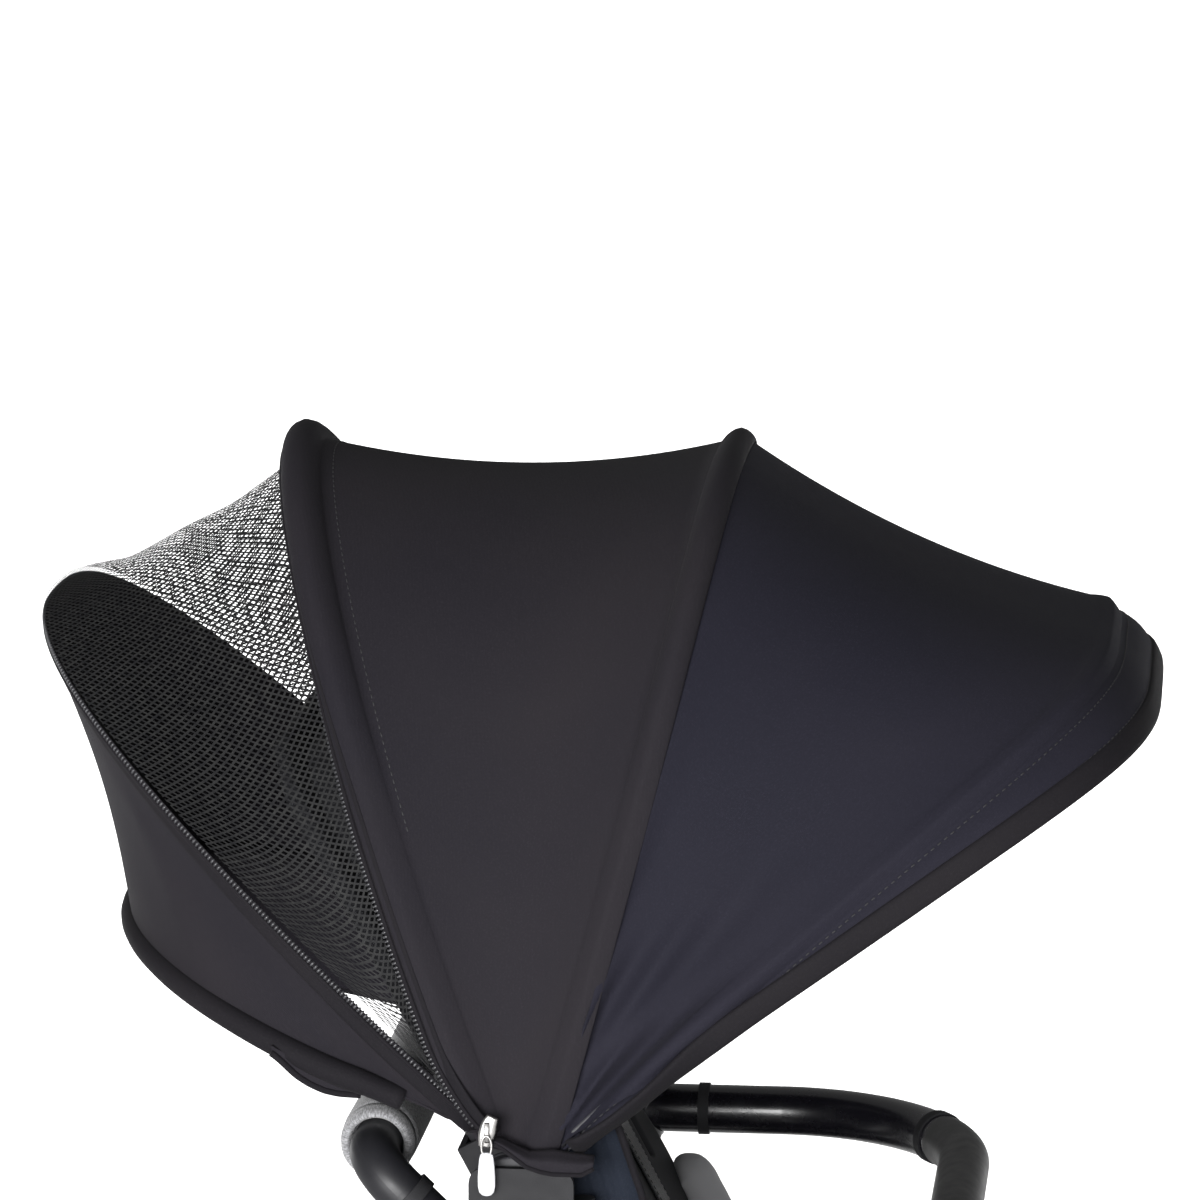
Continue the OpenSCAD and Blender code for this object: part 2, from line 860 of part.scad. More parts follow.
module bumper_tube() {
    gap = 1;
    button_x = bumper_x + 22;
    color([0.03, 0.03, 0.04])
        difference() {
            union() {
                // Side legs, just inside the bends that they run into
                both_sides() {
                    rod([bumper_x, bumper_y, bumper_z], [bend_x + slack, bumper_y, bumper_z],
                        bumper_r - slack);
                    bumper_arc(0, sleeve_deg, bumper_r);
                }
                // The barrel that the left leg swings on, and the spigot that the right leg plugs in
                rod([bumper_x, bumper_y, bumper_z - bumper_r - gap],
                    [bumper_x, bumper_y, bumper_z + bumper_r + gap], bumper_r + 0.8);
                rod([bumper_x - 14, -bumper_y, bumper_z], [bumper_x + 2, -bumper_y, bumper_z], 9);
            }
            rod([bumper_x, bumper_y, bumper_z - 30], [bumper_x, bumper_y, bumper_z + 30],
                lug_pin_r + slack);
            rod([button_x, -bumper_y, bumper_z], [button_x, -bumper_y - 20, bumper_z], 6.2);
        }
}

module bumper_sleeve() {
    color([0.05, 0.05, 0.06]) {
        both_sides()
            bumper_arc(sleeve_deg + 0.1, 90, bumper_r + 0.4);
        rod([bend_x + bumper_bend, -bend_y, bumper_z], [bend_x + bumper_bend, bend_y, bumper_z],
            bumper_r + 0.4);
    }
}

module bumper_collars() {
    color([0.10, 0.10, 0.11])
        both_sides() {
            bumper_arc(sleeve_deg - 6, sleeve_deg - 2.5, bumper_r + 1.2, bumper_r + slack);
            difference() {
                rod([bumper_x + 34, bumper_y, bumper_z], [bumper_x + 40, bumper_y, bumper_z],
                    bumper_r + 1);
                rod([bumper_x + 30, bumper_y, bumper_z], [bumper_x + 50, bumper_y, bumper_z],
                    bumper_r + slack);
            }
        }
}

module bumper_button() {
    color([0.20, 0.20, 0.21])
        rod([bumper_x + 22, -bumper_y - 5, bumper_z], [bumper_x + 22, -bumper_y - 15.5, bumper_z], 6);
}

// ---- Rear legs, wheels and brake ----

module rear_legs() {
    hub_y0 = rear_leg_y - 12;
    hub_y1 = rear_leg_y + 12;
    bar_t = 0.81;
    color([0.07, 0.07, 0.08])
        difference() {
            union() {
                both_sides() {
                    cross_disc(hub_x, hub_z, hub_y0, hub_y1, hub_r - 2);
                    rod(rear_point(0.04, rear_leg_y), rear_point(0.99, rear_leg_y), leg_r);
                    cross_disc(rear_axle_x, rear_wheel_r, hub_y0, hub_y1, leg_r + 5);
                }
                rod(rear_point(bar_t, -rear_leg_y), rear_point(bar_t, rear_leg_y), leg_r - 2);
            }
            both_sides() {
                cross_disc(hub_x, hub_z, hub_y0 - 2, hub_y1 + 2, axle_r + slack);
                cross_disc(hub_x, hub_z, hub_y1 - 6, hub_y1 + 2, 12 + 2 * slack);
                cross_disc(rear_axle_x, rear_wheel_r, hub_y0 - 2, hub_y1 + 2, axle_r + slack);
            }
        }
}

module rear_axle() {
    color([0.75, 0.76, 0.78])
        rod([rear_axle_x, -284, rear_wheel_r], [rear_axle_x, 284, rear_wheel_r], axle_r);
}

module hub_button(side) {
    color([0.30, 0.31, 0.33])
        cross_disc(hub_x, hub_z, rear_leg_y + 9.4, rear_leg_y + 15.5, 12, side);
}

module hub_button_left() {
    hub_button(left);
}

module hub_button_right() {
    hub_button(right);
}

module brake_pedal() {
    half_w = 34;
    color([0.35, 0.36, 0.38])
        difference() {
            union() {
                rod([rear_axle_x, -half_w, rear_wheel_r], [rear_axle_x, half_w, rear_wheel_r], 10);
                translate([rear_axle_x - 62, -half_w, rear_wheel_r - 2])
                    cube([62, 2 * half_w, 8]);
            }
            rod([rear_axle_x, -half_w - 5, rear_wheel_r], [rear_axle_x, half_w + 5, rear_wheel_r],
                axle_r + slack);
        }
}

// A ring turned about a cross axis, from an outline of distance against width
module wheel_ring(x, y, z, points) {
    translate([x, y, z])
        rotate([90, 0, 0])
            rotate_extrude()
                polygon(points);
}

module tyre(x, y, r, w) {
    depth = r * tyre_share;
    color([0.04, 0.04, 0.04])
        wheel_ring(x, y, r, [for (p = rounded(depth, w, 5)) [p[0] + r - depth / 2, p[1]]]);
}

module rim(x, y, r, w, bore) {
    edge = r * (1 - tyre_share) - slack;
    ring_t = 5;
    spokes = 7;
    color([0.30, 0.31, 0.33])
        difference() {
            union() {
                difference() {
                    cross_disc(x, r, y - w / 2 + 4, y + w / 2 - 4, edge);
                    cross_disc(x, r, y - w / 2, y + w / 2, edge - ring_t);
                }
                cross_disc(x, r, y - w / 2 + 0.6, y + w / 2 - 0.6, bore + 9);
                for (i = [0 : spokes - 1])
                    translate([x, y, r])
                        rotate([0, i * 360 / spokes, 0])
                            translate([bore + 6, -4, -5])
                                cube([edge - bore - 8, 8, 10]);
            }
            cross_disc(x, r, y - w, y + w, bore + slack);
        }
}

module rear_rim_left() {
    rim(rear_axle_x, rear_wheel_y, rear_wheel_r, rear_wheel_w, axle_r);
}

module rear_tyre_left() {
    tyre(rear_axle_x, rear_wheel_y, rear_wheel_r, rear_wheel_w);
}

module rear_rim_right() {
    mirror([0, 1, 0])
        rear_rim_left();
}

module rear_tyre_right() {
    tyre(rear_axle_x, -rear_wheel_y, rear_wheel_r, rear_wheel_w);
}

module caster_left() {
    crown_z = front_wheel_r + front_wheel_r + 4;
    half_w = front_wheel_w / 2 + 2;
    arm_t = 5;
    wheel_x = caster_x - trail;
    color([0.10, 0.10, 0.11]) {
        for (y = [caster_y - half_w - arm_t, caster_y + half_w])
            side_plate([
                [wheel_x - 12, front_wheel_r - 8], [wheel_x, front_wheel_r - 12],
                [wheel_x + 12, front_wheel_r - 8], [caster_x + 14, crown_z + 8],
                [caster_x - 30, crown_z + 8]
            ], y, y + arm_t);
        translate([caster_x - 30, caster_y - half_w, crown_z])
            cube([44, 2 * half_w, 8]);
        translate([caster_x, caster_y, crown_z + 7])
            cylinder(h = socket_high - crown_z - 16, r = swivel_r);
        cross_disc(wheel_x, front_wheel_r, caster_y - half_w - 1, caster_y + half_w + 1, wheel_pin_r);
    }
}

module caster_right() {
    mirror([0, 1, 0])
        caster_left();
}

module front_rim_left() {
    rim(caster_x - trail, caster_y, front_wheel_r, front_wheel_w, wheel_pin_r);
}

module front_tyre_left() {
    tyre(caster_x - trail, caster_y, front_wheel_r, front_wheel_w);
}

module front_rim_right() {
    mirror([0, 1, 0])
        front_rim_left();
}

module front_tyre_right() {
    tyre(caster_x - trail, -caster_y, front_wheel_r, front_wheel_w);
}

side_hubs();
hub_axles();
front_legs();
caster_sockets();
armrest_brackets();
seat_pan();
seat_supports();
seat_cushion();
footrest();
basket_frame();
basket();
crotch_strap();
lap_straps();
harness_buckle();
buckle_button();
backrest_shell();
backrest_pad();
seat_bolsters();
side_wings();
canopy_pins();
bracket_covers();
rear_bow();
mid_panel();
upper_zip();
shoulder_straps();
mid_bow();
front_bow();
front_panel();
brim_binding();
vent_mesh();
rear_panel();
lower_zip();
panel_piping();
side_flaps();
zip_slider();
zip_tag();
handle_frame();
handle_grip();
handle_collars();
bumper_tube();
bumper_sleeve();
bumper_collars();
bumper_button();
rear_legs();
rear_axle();
hub_button_left();
hub_button_right();
brake_pedal();
rear_rim_left();
rear_tyre_left();
rear_rim_right();
rear_tyre_right();
caster_left();
front_rim_left();
front_tyre_left();
caster_right();
front_rim_right();
front_tyre_right();
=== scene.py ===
"""A folding baby stroller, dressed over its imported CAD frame. Metres, +X forward, +Y left, +Z up."""

import json
import math

import bpy
import numpy as np
from mathutils import Matrix, Vector, noise


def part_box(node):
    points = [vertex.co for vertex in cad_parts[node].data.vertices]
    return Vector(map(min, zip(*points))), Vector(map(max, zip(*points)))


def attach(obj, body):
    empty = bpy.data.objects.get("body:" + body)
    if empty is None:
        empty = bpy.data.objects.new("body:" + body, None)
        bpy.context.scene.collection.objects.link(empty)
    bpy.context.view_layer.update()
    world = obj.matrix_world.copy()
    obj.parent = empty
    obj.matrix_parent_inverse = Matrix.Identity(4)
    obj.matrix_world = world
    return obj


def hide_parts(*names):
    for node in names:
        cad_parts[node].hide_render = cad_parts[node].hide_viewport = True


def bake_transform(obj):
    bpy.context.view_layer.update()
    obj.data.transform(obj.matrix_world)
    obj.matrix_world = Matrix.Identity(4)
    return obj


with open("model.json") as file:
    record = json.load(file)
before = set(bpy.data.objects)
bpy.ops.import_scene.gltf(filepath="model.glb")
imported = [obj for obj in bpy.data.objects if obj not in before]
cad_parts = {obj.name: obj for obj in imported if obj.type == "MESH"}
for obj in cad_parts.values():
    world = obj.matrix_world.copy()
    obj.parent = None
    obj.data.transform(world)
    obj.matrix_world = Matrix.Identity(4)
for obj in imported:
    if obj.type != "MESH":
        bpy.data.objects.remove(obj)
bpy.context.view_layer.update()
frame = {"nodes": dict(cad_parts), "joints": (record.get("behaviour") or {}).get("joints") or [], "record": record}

MM = 0.001
JOINTS = {joint["name"]: joint for joint in frame["joints"]}
PIVOT = np.array(JOINTS["canopy_mid_fold"]["pos_m"])
VENT = np.array(JOINTS["vent_zip_closed"]["pos_m"])
HUB = np.array(JOINTS["seat_raise"]["pos_m"])
BACK_LEAN = math.radians(28)
SIDES = {"left": 1, "right": -1}


# ---------------------------------------------------------------- Small helpers


def smooth(x):
    """0 below 0, 1 above 1, and a soft step between."""
    x = np.clip(x, 0, 1)
    return x * x * (3 - 2 * x)


def unit(v):
    return v / np.maximum(np.linalg.norm(v, axis=-1, keepdims=True), 1e-12)


def arc_lengths(path):
    """How far along the path each of its points lies."""
    steps = np.linalg.norm(np.diff(path, axis=0), axis=1)
    return np.concatenate([[0], np.cumsum(steps)])


def even_path(path, spacing):
    """The same path with its points evenly spaced."""
    along = arc_lengths(path)
    count = max(2, int(round(along[-1] / spacing)) + 1)
    wanted = np.linspace(0, along[-1], count)
    return np.stack([np.interp(wanted, along, path[:, k]) for k in range(3)], axis=1)


def tangents(path):
    return unit(np.gradient(path, axis=0))


def back_point(x, y, z):
    """A point of the backrest: x to its front, z up along it from the hinge."""
    c, s = math.cos(BACK_LEAN), math.sin(BACK_LEAN)
    return HUB + np.array([x * c - z * s, y, x * s + z * c])


def bumps(points, size, seed):
    """Smooth noise from -1 to 1 at each point."""
    offset = Vector((seed * 7.3, seed * 3.1, seed * 5.7))
    return np.array([noise.noise(Vector(p) / size + offset) for p in points])


def place(piece, slot, body, *nodes):
    """Hides the CAD nodes that a piece replaces and attaches the piece to the body that it rides on. The slot is
    not used.
    """
    if nodes:
        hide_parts(*nodes)
    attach(piece, body)


def box_of(node):
    """The low and high corners of a CAD node's box."""
    return [np.array(corner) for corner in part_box(node)]


def averaged(values, reach):
    """Each value's mean with its neighbours on both sides."""
    count = 2 * reach + 1
    return np.convolve(np.pad(values, reach, mode="edge"), np.ones(count) / count, mode="valid")


# ---------------------------------------------------------------- Making meshes


def make_piece(name, points, faces, finish, uv=None):
    """A new mesh object. uv gives each point's place on the flat cloth, in metres."""
    mesh = bpy.data.meshes.new(name)
    mesh.from_pydata([tuple(p) for p in points], [], [tuple(f) for f in faces])
    mesh.update()
    if uv is not None:
        layer = mesh.uv_layers.new(name="cloth")
        corners = np.zeros(len(mesh.loops), int)
        mesh.loops.foreach_get("vertex_index", corners)
        layer.data.foreach_set("uv", np.asarray(uv, np.float32)[corners].ravel())
    mesh.polygons.foreach_set("use_smooth", [True] * len(mesh.polygons))
    mesh.materials.append(finish)
    piece = bpy.data.objects.new(name, mesh)
    bpy.context.scene.collection.objects.link(piece)
    return piece


def grid_normals(grid, inside):
    """Unit normals of a grid of points, facing away from the point inside."""
    along, across = np.gradient(grid, axis=0), np.gradient(grid, axis=1)
    normals = unit(np.cross(along, across))
    away = np.sum(normals * (grid - inside), axis=2)
    return -normals if away.sum() < 0 else normals


def grid_uv(grid):
    """Distances along the rows and the columns of a grid, measured from its middle."""
    across = np.stack([arc_lengths(row) for row in grid])
    along = np.stack([arc_lengths(grid[:, k]) for k in range(grid.shape[1])], axis=1)
    across -= across[:, [across.shape[1] // 2]]
    along -= along[[along.shape[0] // 2], :]
    return np.stack([across, along], axis=2)


def grid_faces(rows, columns, start=0, flip=False):
    faces = []
    for i in range(rows - 1):
        for j in range(columns - 1):
            a = start + i * columns + j
            face = (a, a + 1, a + columns + 1, a + columns)
            faces.append(face[::-1] if flip else face)
    return faces


def make_cloth(name, grid, finish, thick=1.2 * MM, inside=None):
    """A sheet of cloth with a thickness, from a grid of points on its outer face."""
    rows, columns = grid.shape[:2]
    inside = PIVOT if inside is None else inside
    normals = grid_normals(grid, inside)
    outer, inner = grid.reshape(-1, 3), (grid - thick * normals).reshape(-1, 3)
    uv = grid_uv(grid).reshape(-1, 2)
    first = np.cross(grid[1, 0] - grid[0, 0], grid[0, 1] - grid[0, 0])
    flip = float(np.dot(first, normals[0, 0])) > 0
    count = rows * columns
    faces = grid_faces(rows, columns, 0, flip) + grid_faces(rows, columns, count, not flip)
    ring = (
        [j for j in range(columns)]
        + [i * columns + columns - 1 for i in range(1, rows)]
        + [(rows - 1) * columns + j for j in range(columns - 2, -1, -1)]
        + [i * columns for i in range(rows - 2, 0, -1)]
    )
    for a, b in zip(ring, ring[1:] + ring[:1]):
        face = (a, b, b + count, a + count)
        faces.append(face if flip else face[::-1])
    return make_piece(name, np.vstack([outer, inner]), faces, finish, np.vstack([uv, uv]))


def declare_cloth(piece, grid, held="stretched", **more):
    """Works out the flat layout of the cloth from its grid, and does nothing more with it."""
    uv = grid_uv(grid)


def sweep(name, path, side, profile, finish, closed=False, scale=None):
    """Draws a closed outline along a path. side gives the outline's own x direction at each point,
    and scale how large the outline is there."""
    path = np.asarray(path, float)
    forward = tangents(path)
    side = np.broadcast_to(np.asarray(side, float), path.shape)
    if closed:
        forward = unit(np.roll(path, -1, axis=0) - np.roll(path, 1, axis=0))
    side = unit(side - forward * np.sum(side * forward, axis=1, keepdims=True))
    up = np.cross(forward, side)
    profile = np.asarray(profile, float)
    count, sides = len(path), len(profile)
    sized = profile[None] * (np.ones((count, 1, 1)) if scale is None else np.reshape(scale, (count, 1, -1)))
    rings = path[:, None] + sized[:, :, 0, None] * side[:, None] + sized[:, :, 1, None] * up[:, None]
    points = rings.reshape(-1, 3)
    around = arc_lengths(np.vstack([profile, profile[:1]]))[:sides]
    along = arc_lengths(path)
    uv = np.stack(np.meshgrid(around, along), axis=2).reshape(-1, 2)
    faces = []
    for i in range(count if closed else count - 1):
        for j in range(sides):
            k, n = (j + 1) % sides, (i + 1) % count
            faces.append((i * sides + j, i * sides + k, n * sides + k, n * sides + j))
    if not closed:
        faces.append(tuple(range(sides))[::-1])
        faces.append(tuple((count - 1) * sides + j for j in range(sides)))
    return make_piece(name, points, faces, finish, uv)


def oval(width, height, sides=12, squareness=2.0):
    """A closed outline, from an ellipse to a rounded rectangle."""
    turns = np.linspace(0, 2 * math.pi, sides, endpoint=False)
    x, y = np.cos(turns), np.sin(turns)
    power = 2 / squareness
    return np.stack(
        [width / 2 * np.sign(x) * np.abs(x) ** power, height / 2 * np.sign(y) * np.abs(y) ** power],
        axis=1,
    )


def beads(name, path, up, size, pitch, finish):
    """Small rounded beads along a path, such as stitches or teeth: size is along, across, high."""
    spots = even_path(path, pitch)
    at, known = arc_lengths(spots), arc_lengths(path)
    spots_up = unit(np.stack([np.interp(at, known, up[:, k]) for k in range(3)], 1))
    forward = tangents(spots)
    across = np.cross(forward, spots_up)
    length, width, height = size
    stations, turns = [-0.5, -0.36, 0.36, 0.5], np.linspace(0, 2 * math.pi, 6, endpoint=False)
    swell = [0.45, 1.0, 1.0, 0.45]
    shape = np.array([
        (x * length, s * math.cos(t) * width / 2, s * math.sin(t) * height / 2)
        for x, s in zip(stations, swell) for t in turns
    ])
    one = []
    for i in range(3):
        for j in range(6):
            k = (j + 1) % 6
            one.append((i * 6 + j, (i + 1) * 6 + j, (i + 1) * 6 + k, i * 6 + k))
    one += [tuple(range(6)), tuple(range(23, 17, -1))]
    points = (
        spots[:, None]
        + shape[None, :, 0, None] * forward[:, None]
        + shape[None, :, 1, None] * across[:, None]
        + shape[None, :, 2, None] * spots_up[:, None]
    ).reshape(-1, 3)
    faces = [tuple(v + n * len(shape) for v in f) for n in range(len(spots)) for f in one]
    return make_piece(name, points, faces, finish, np.zeros((len(points), 2)))


def lathe(name, centre, axis, profile, sides, finish):
    """Turns (along, radius) points about an axis through the centre."""
    axis = unit(np.asarray(axis, float))
    first = unit(np.cross(axis, [0.31, 0.12, 0.94]))
    second = np.cross(axis, first)
    turns = np.linspace(0, 2 * math.pi, sides, endpoint=False)
    around = np.cos(turns)[:, None] * first + np.sin(turns)[:, None] * second
    profile = np.asarray(profile, float)
    points = (centre + profile[:, 0, None, None] * axis + profile[:, 1, None, None] * around).reshape(-1, 3)
    run = np.concatenate([[0], np.cumsum(np.linalg.norm(np.diff(profile, axis=0), axis=1))])
    widest = profile[:, 1].max()
    uv = np.stack(np.meshgrid(turns * widest, run), axis=2).reshape(-1, 2)
    faces = []
    for i in range(len(profile) - 1):
        for j in range(sides):
            k = (j + 1) % sides
            faces.append((i * sides + j, i * sides + k, (i + 1) * sides + k, (i + 1) * sides + j))
    if profile[0, 1] > 0 and not np.allclose(profile[0], profile[-1]):
        faces.append(tuple(range(sides))[::-1])
        faces.append(tuple((len(profile) - 1) * sides + j for j in range(sides)))
    return make_piece(name, points, faces, finish, uv)


def settle(piece):
    """Applies the piece's modifiers to its mesh."""
    graph = bpy.context.evaluated_depsgraph_get()
    mesh = bpy.data.meshes.new_from_object(piece.evaluated_get(graph))
    piece.modifiers.clear()
    piece.data = mesh


def mesh_points(piece):
    """The piece's points as an array."""
    points = np.zeros(3 * len(piece.data.vertices))
    piece.data.vertices.foreach_get("co", points)
    return points.reshape(-1, 3)


def mesh_normals(piece):
    normals = np.zeros(3 * len(piece.data.vertices))
    piece.data.vertices.foreach_get("normal", normals)
    return normals.reshape(-1, 3)


def move_points(piece, points):
    piece.data.vertices.foreach_set("co", points.ravel())
    piece.data.update()


# ---------------------------------------------------------------- Finishes


class Finish:
    """A material whose colour, roughness and relief come from nodes."""

    def __init__(self, name, constants, flat=False):
        self.material = bpy.data.materials.new(name)
        self.material.use_nodes = True
        self.nodes = self.material.node_tree.nodes
        self.links = self.material.node_tree.links
        self.shader = self.nodes["Principled BSDF"]
        for socket, value in constants.items():
            self.shader.inputs[socket].default_value = value
        coords = self.nodes.new("ShaderNodeTexCoord")
        self.place = coords.outputs["UV" if flat else "Object"]
        self.normal = None

    def add(self, kind, inputs=(), **settings):
        """A new node; inputs are (socket, value or other socket) pairs."""
        node = self.nodes.new("ShaderNode" + kind)
        for key, value in settings.items():
            setattr(node, key, value)
        for key, value in inputs:
            if isinstance(value, bpy.types.NodeSocket):
                self.links.new(value, node.inputs[key])
            else:
                node.inputs[key].default_value = value
        return node

    def maths(self, operation, a, b=0.0):
        return self.add("Math", [(0, a), (1, b)], operation=operation).outputs[0]

    def grain(self, size, detail=2.0, stretch=(1, 1, 1)):
        """Noise from 0 to 1 whose features are about size metres."""
        scaled = self.add("Mapping", [("Vector", self.place), ("Scale", stretch)])
        found = self.add(
            "TexNoise",
            [("Vector", scaled.outputs[0]), ("Scale", 1 / size), ("Detail", detail)],
        )
        return found.outputs["Fac"]

    def ribs(self, pitch, axis, sharp=1.0):
        """Ridges from 0 to 1 across the flat cloth, a pitch apart."""
        parts = self.add("SeparateXYZ", [(0, self.place)])
        wave = self.maths("SINE", self.maths("MULTIPLY", parts.outputs[axis], 2 * math.pi / pitch))
        raised = self.maths("MULTIPLY_ADD", wave, 0.5)
        raised.node.inputs[2].default_value = 0.5
        return self.maths("POWER", raised, sharp)

    def weave(self, pitch):
        """Threads that cross over and under each other."""
        return self.maths("MAXIMUM", self.ribs(pitch, 0, 2), self.ribs(pitch, 1, 2))

    def spread(self, value, low, high):
        """Stretches the span low to high to 0 to 1."""
        found = self.add("MapRange", [("Value", value), ("From Min", low), ("From Max", high)])
        return found.outputs[0]

    def colour(self, first, second, share):
        mix = self.add("Mix", [(0, share), (6, first), (7, second)], data_type="RGBA")
        self.mixed = mix.outputs[2]
        self.links.new(self.mixed, self.shader.inputs["Base Color"])

    def tint(self, dark, light, share):
        """Base colour between two colours."""
        self.colour((*dark, 1), (*light, 1), share)

    def tint_again(self, colour, share):
        """Mixes one more colour over the base colour."""
        self.colour(self.mixed, (*colour, 1), share)

    def polish(self, low, high, share):
        """Roughness between two values."""
        found = self.add("MapRange", [("Value", share), ("To Min", low), ("To Max", high)])
        self.links.new(found.outputs[0], self.shader.inputs["Roughness"])

    def relief(self, height, depth, strength=1.0):
        """Adds relief of a given depth in metres."""
        bump = self.add("Bump", [("Height", height), ("Distance", depth), ("Strength", strength)])
        if self.normal is not None:
            self.links.new(self.normal, bump.inputs["Normal"])
        self.normal = bump.outputs[0]
        self.links.new(self.normal, self.shader.inputs["Normal"])


def knit_cloth(name, dark, light, sheen=0.012, thread=0.7 * MM):
    """Smooth stretch cloth: soft colour drift, faint heather, fine knit."""
    shine = {"Sheen Weight": sheen, "Sheen Roughness": 0.5, "Specular IOR Level": 0.06}
    made = Finish(name, shine, flat=True)
    drift = made.grain(160 * MM, 2)
    made.tint(dark, light, made.spread(drift, 0.35, 0.65))
    fleck = made.grain(1.1 * MM, 3)
    made.tint_again(tuple(1.7 * c for c in light), made.maths("MULTIPLY", made.spread(fleck, 0.52, 0.8), 0.5))
    made.polish(0.62, 0.82, drift)
    made.relief(made.weave(thread), 0.12 * MM, 0.5)
    made.relief(made.grain(2.2 * MM, 3), 0.25 * MM, 0.35)
    made.relief(made.grain(30 * MM, 2), 0.9 * MM, 0.4)
    return made.material


def melange(name, dark, light):
    """Heathered grey cloth of mixed light and dark fibres."""
    made = Finish(name, {"Sheen Weight": 0.25, "Sheen Roughness": 0.5, "Specular IOR Level": 0.2}, flat=True)
    fibres = made.grain(1.0 * MM, 4, (1, 0.35, 1))
    crossing = made.grain(1.0 * MM, 4, (0.35, 1, 1))
    made.tint(dark, light, made.spread(fibres, 0.38, 0.62))
    share = made.maths("MULTIPLY", made.spread(crossing, 0.56, 0.72), 0.7)
    made.tint_again(tuple(0.35 * c for c in dark), share)
    made.polish(0.78, 0.95, fibres)
    made.relief(made.weave(1.1 * MM), 0.25 * MM, 0.7)
    made.relief(made.grain(9 * MM, 3), 0.5 * MM, 0.4)
    return made.material


def webbing(name, colour):
    """Woven strap: fine ribs along it and a herringbone across."""
    made = Finish(name, {"Sheen Weight": 0.1, "Specular IOR Level": 0.3}, flat=True)
    ribs = made.ribs(1.6 * MM, 0, 1)
    # Painted shade: share follows the rib relief, so the colour darkens to 0.6 where the ribs sink.
    share = made.maths("MULTIPLY", ribs, made.ribs(1.1 * MM, 1, 0.6))
    made.tint(tuple(0.6 * c for c in colour), colour, share)
    made.polish(0.5, 0.75, ribs)
    made.relief(made.maths("MULTIPLY", ribs, made.ribs(1.1 * MM, 1, 0.6)), 0.35 * MM, 0.9)
    return made.material


def net(name, cell, thread):
    """Black netting of slanted square cells, open between its threads."""
    made = Finish(name, {"Specular IOR Level": 0.12, "Roughness": 0.7}, flat=True)
    parts = made.add("SeparateXYZ", [(0, made.place)])
    u, v = parts.outputs[0], parts.outputs[1]
    leaning = [made.maths("ADD", u, made.maths("MULTIPLY", v, 0.9)),
               made.maths("SUBTRACT", u, made.maths("MULTIPLY", v, 0.9))]
    threads = [made.maths("PINGPONG", made.maths("DIVIDE", line, cell), 0.5) for line in leaning]
    nearest = made.maths("MINIMUM", threads[0], threads[1])
    solid = made.maths("LESS_THAN", nearest, thread / cell)
    made.tint((0.007, 0.007, 0.008), (0.018, 0.018, 0.018), made.spread(made.grain(5 * MM, 2), 0.3, 0.7))
    made.relief(nearest, 0.3 * MM, 0.5)
    made.links.new(solid, made.shader.inputs["Alpha"])
    return made.material


def moulded(name, colour, rough=0.45, depth=0.06 * MM, coat=0.0, shine=0.5):
    """Moulded plastic or painted tube: fine grain, slight colour drift, painted highlights on sharp edges."""
    made = Finish(name, {"Coat Weight": coat, "Coat Roughness": 0.12, "Specular IOR Level": shine})
    drift = made.grain(60 * MM, 3)
    made.tint(tuple(0.8 * c for c in colour), tuple(1.15 * c for c in colour), made.spread(drift, 0.3, 0.7))
    # Painted highlight: sharp convex edges are made lighter, standing in for light catching them.
    edge = made.add("NewGeometry").outputs["Pointiness"]
    made.tint_again(tuple(min(1, 2.4 * c + 0.01) for c in colour),
                    made.maths("MULTIPLY", made.spread(edge, 0.53, 0.62), 0.4))
    made.polish(rough * 0.8, min(1, rough * 1.25), made.grain(8 * MM, 4))
    made.relief(made.grain(0.8 * MM, 2), depth, 0.6)
    return made.material


def metal(name, colour, rough, brushed=True):
    """Bare metal with fine scratches."""
    made = Finish(name, {"Metallic": 1.0})
    lines = made.grain(2 * MM, 4, (1, 0.08, 1) if brushed else (1, 1, 1))
    made.tint(tuple(0.75 * c for c in colour), colour, lines)
    made.polish(rough * 0.7, rough * 1.5, lines)
    made.relief(lines, 0.03 * MM, 0.5)
    return made.material


def rubber(name):
    """Tyre rubber: dusty and fine grained."""
    made = Finish(name, {"Specular IOR Level": 0.35})
    dust = made.grain(12 * MM, 5)
    made.tint((0.012, 0.012, 0.012), (0.035, 0.034, 0.033), made.spread(dust, 0.4, 0.75))
    made.polish(0.6, 0.85, dust)
    made.relief(made.grain(1.2 * MM, 3), 0.15 * MM, 0.6)
    return made.material


def clear_tag(name):
    """Pearly see-through plastic."""
    constants = {"Transmission Weight": 0.45, "IOR": 1.46, "Coat Weight": 0.6, "Coat Roughness": 0.08}
    made = Finish(name, constants)
    cloud = made.grain(6 * MM, 3)
    made.tint((0.62, 0.63, 0.66), (0.92, 0.92, 0.94), cloud)
    made.polish(0.12, 0.32, cloud)
    made.relief(made.grain(2.5 * MM, 2), 0.2 * MM, 0.5)
    return made.material


CANOPY = knit_cloth("canopy_cloth", (0.0102, 0.0093, 0.0122), (0.0132, 0.0118, 0.0142))
FRONT_CANOPY = knit_cloth("front_canopy_cloth", (0.0092, 0.0090, 0.0142), (0.0118, 0.0112, 0.0168))
BINDING = knit_cloth("binding_cloth", (0.0068, 0.0062, 0.0078), (0.0100, 0.0090, 0.0105))
NAVY = knit_cloth("navy_cloth", (0.0080, 0.0105, 0.0165), (0.0125, 0.0150, 0.0220))
SHELL_CLOTH = knit_cloth("shell_cloth", (0.012, 0.012, 0.014), (0.020, 0.020, 0.022), thread=1.4 * MM)
GREY = melange("grey_melange", (0.13, 0.13, 0.135), (0.30, 0.30, 0.31))
BASKET_CLOTH = knit_cloth("basket_cloth", (0.012, 0.012, 0.014), (0.020, 0.020, 0.022), thread=1.8 * MM)
NET = net("mesh", 4.1 * MM, 0.74 * MM)
WEBBING = webbing("webbing", (0.022, 0.022, 0.024))
THREAD = moulded("thread", (0.004, 0.004, 0.005), 0.7)
ZIP_TEETH = moulded("zip_teeth", (0.018, 0.018, 0.020), 0.32)
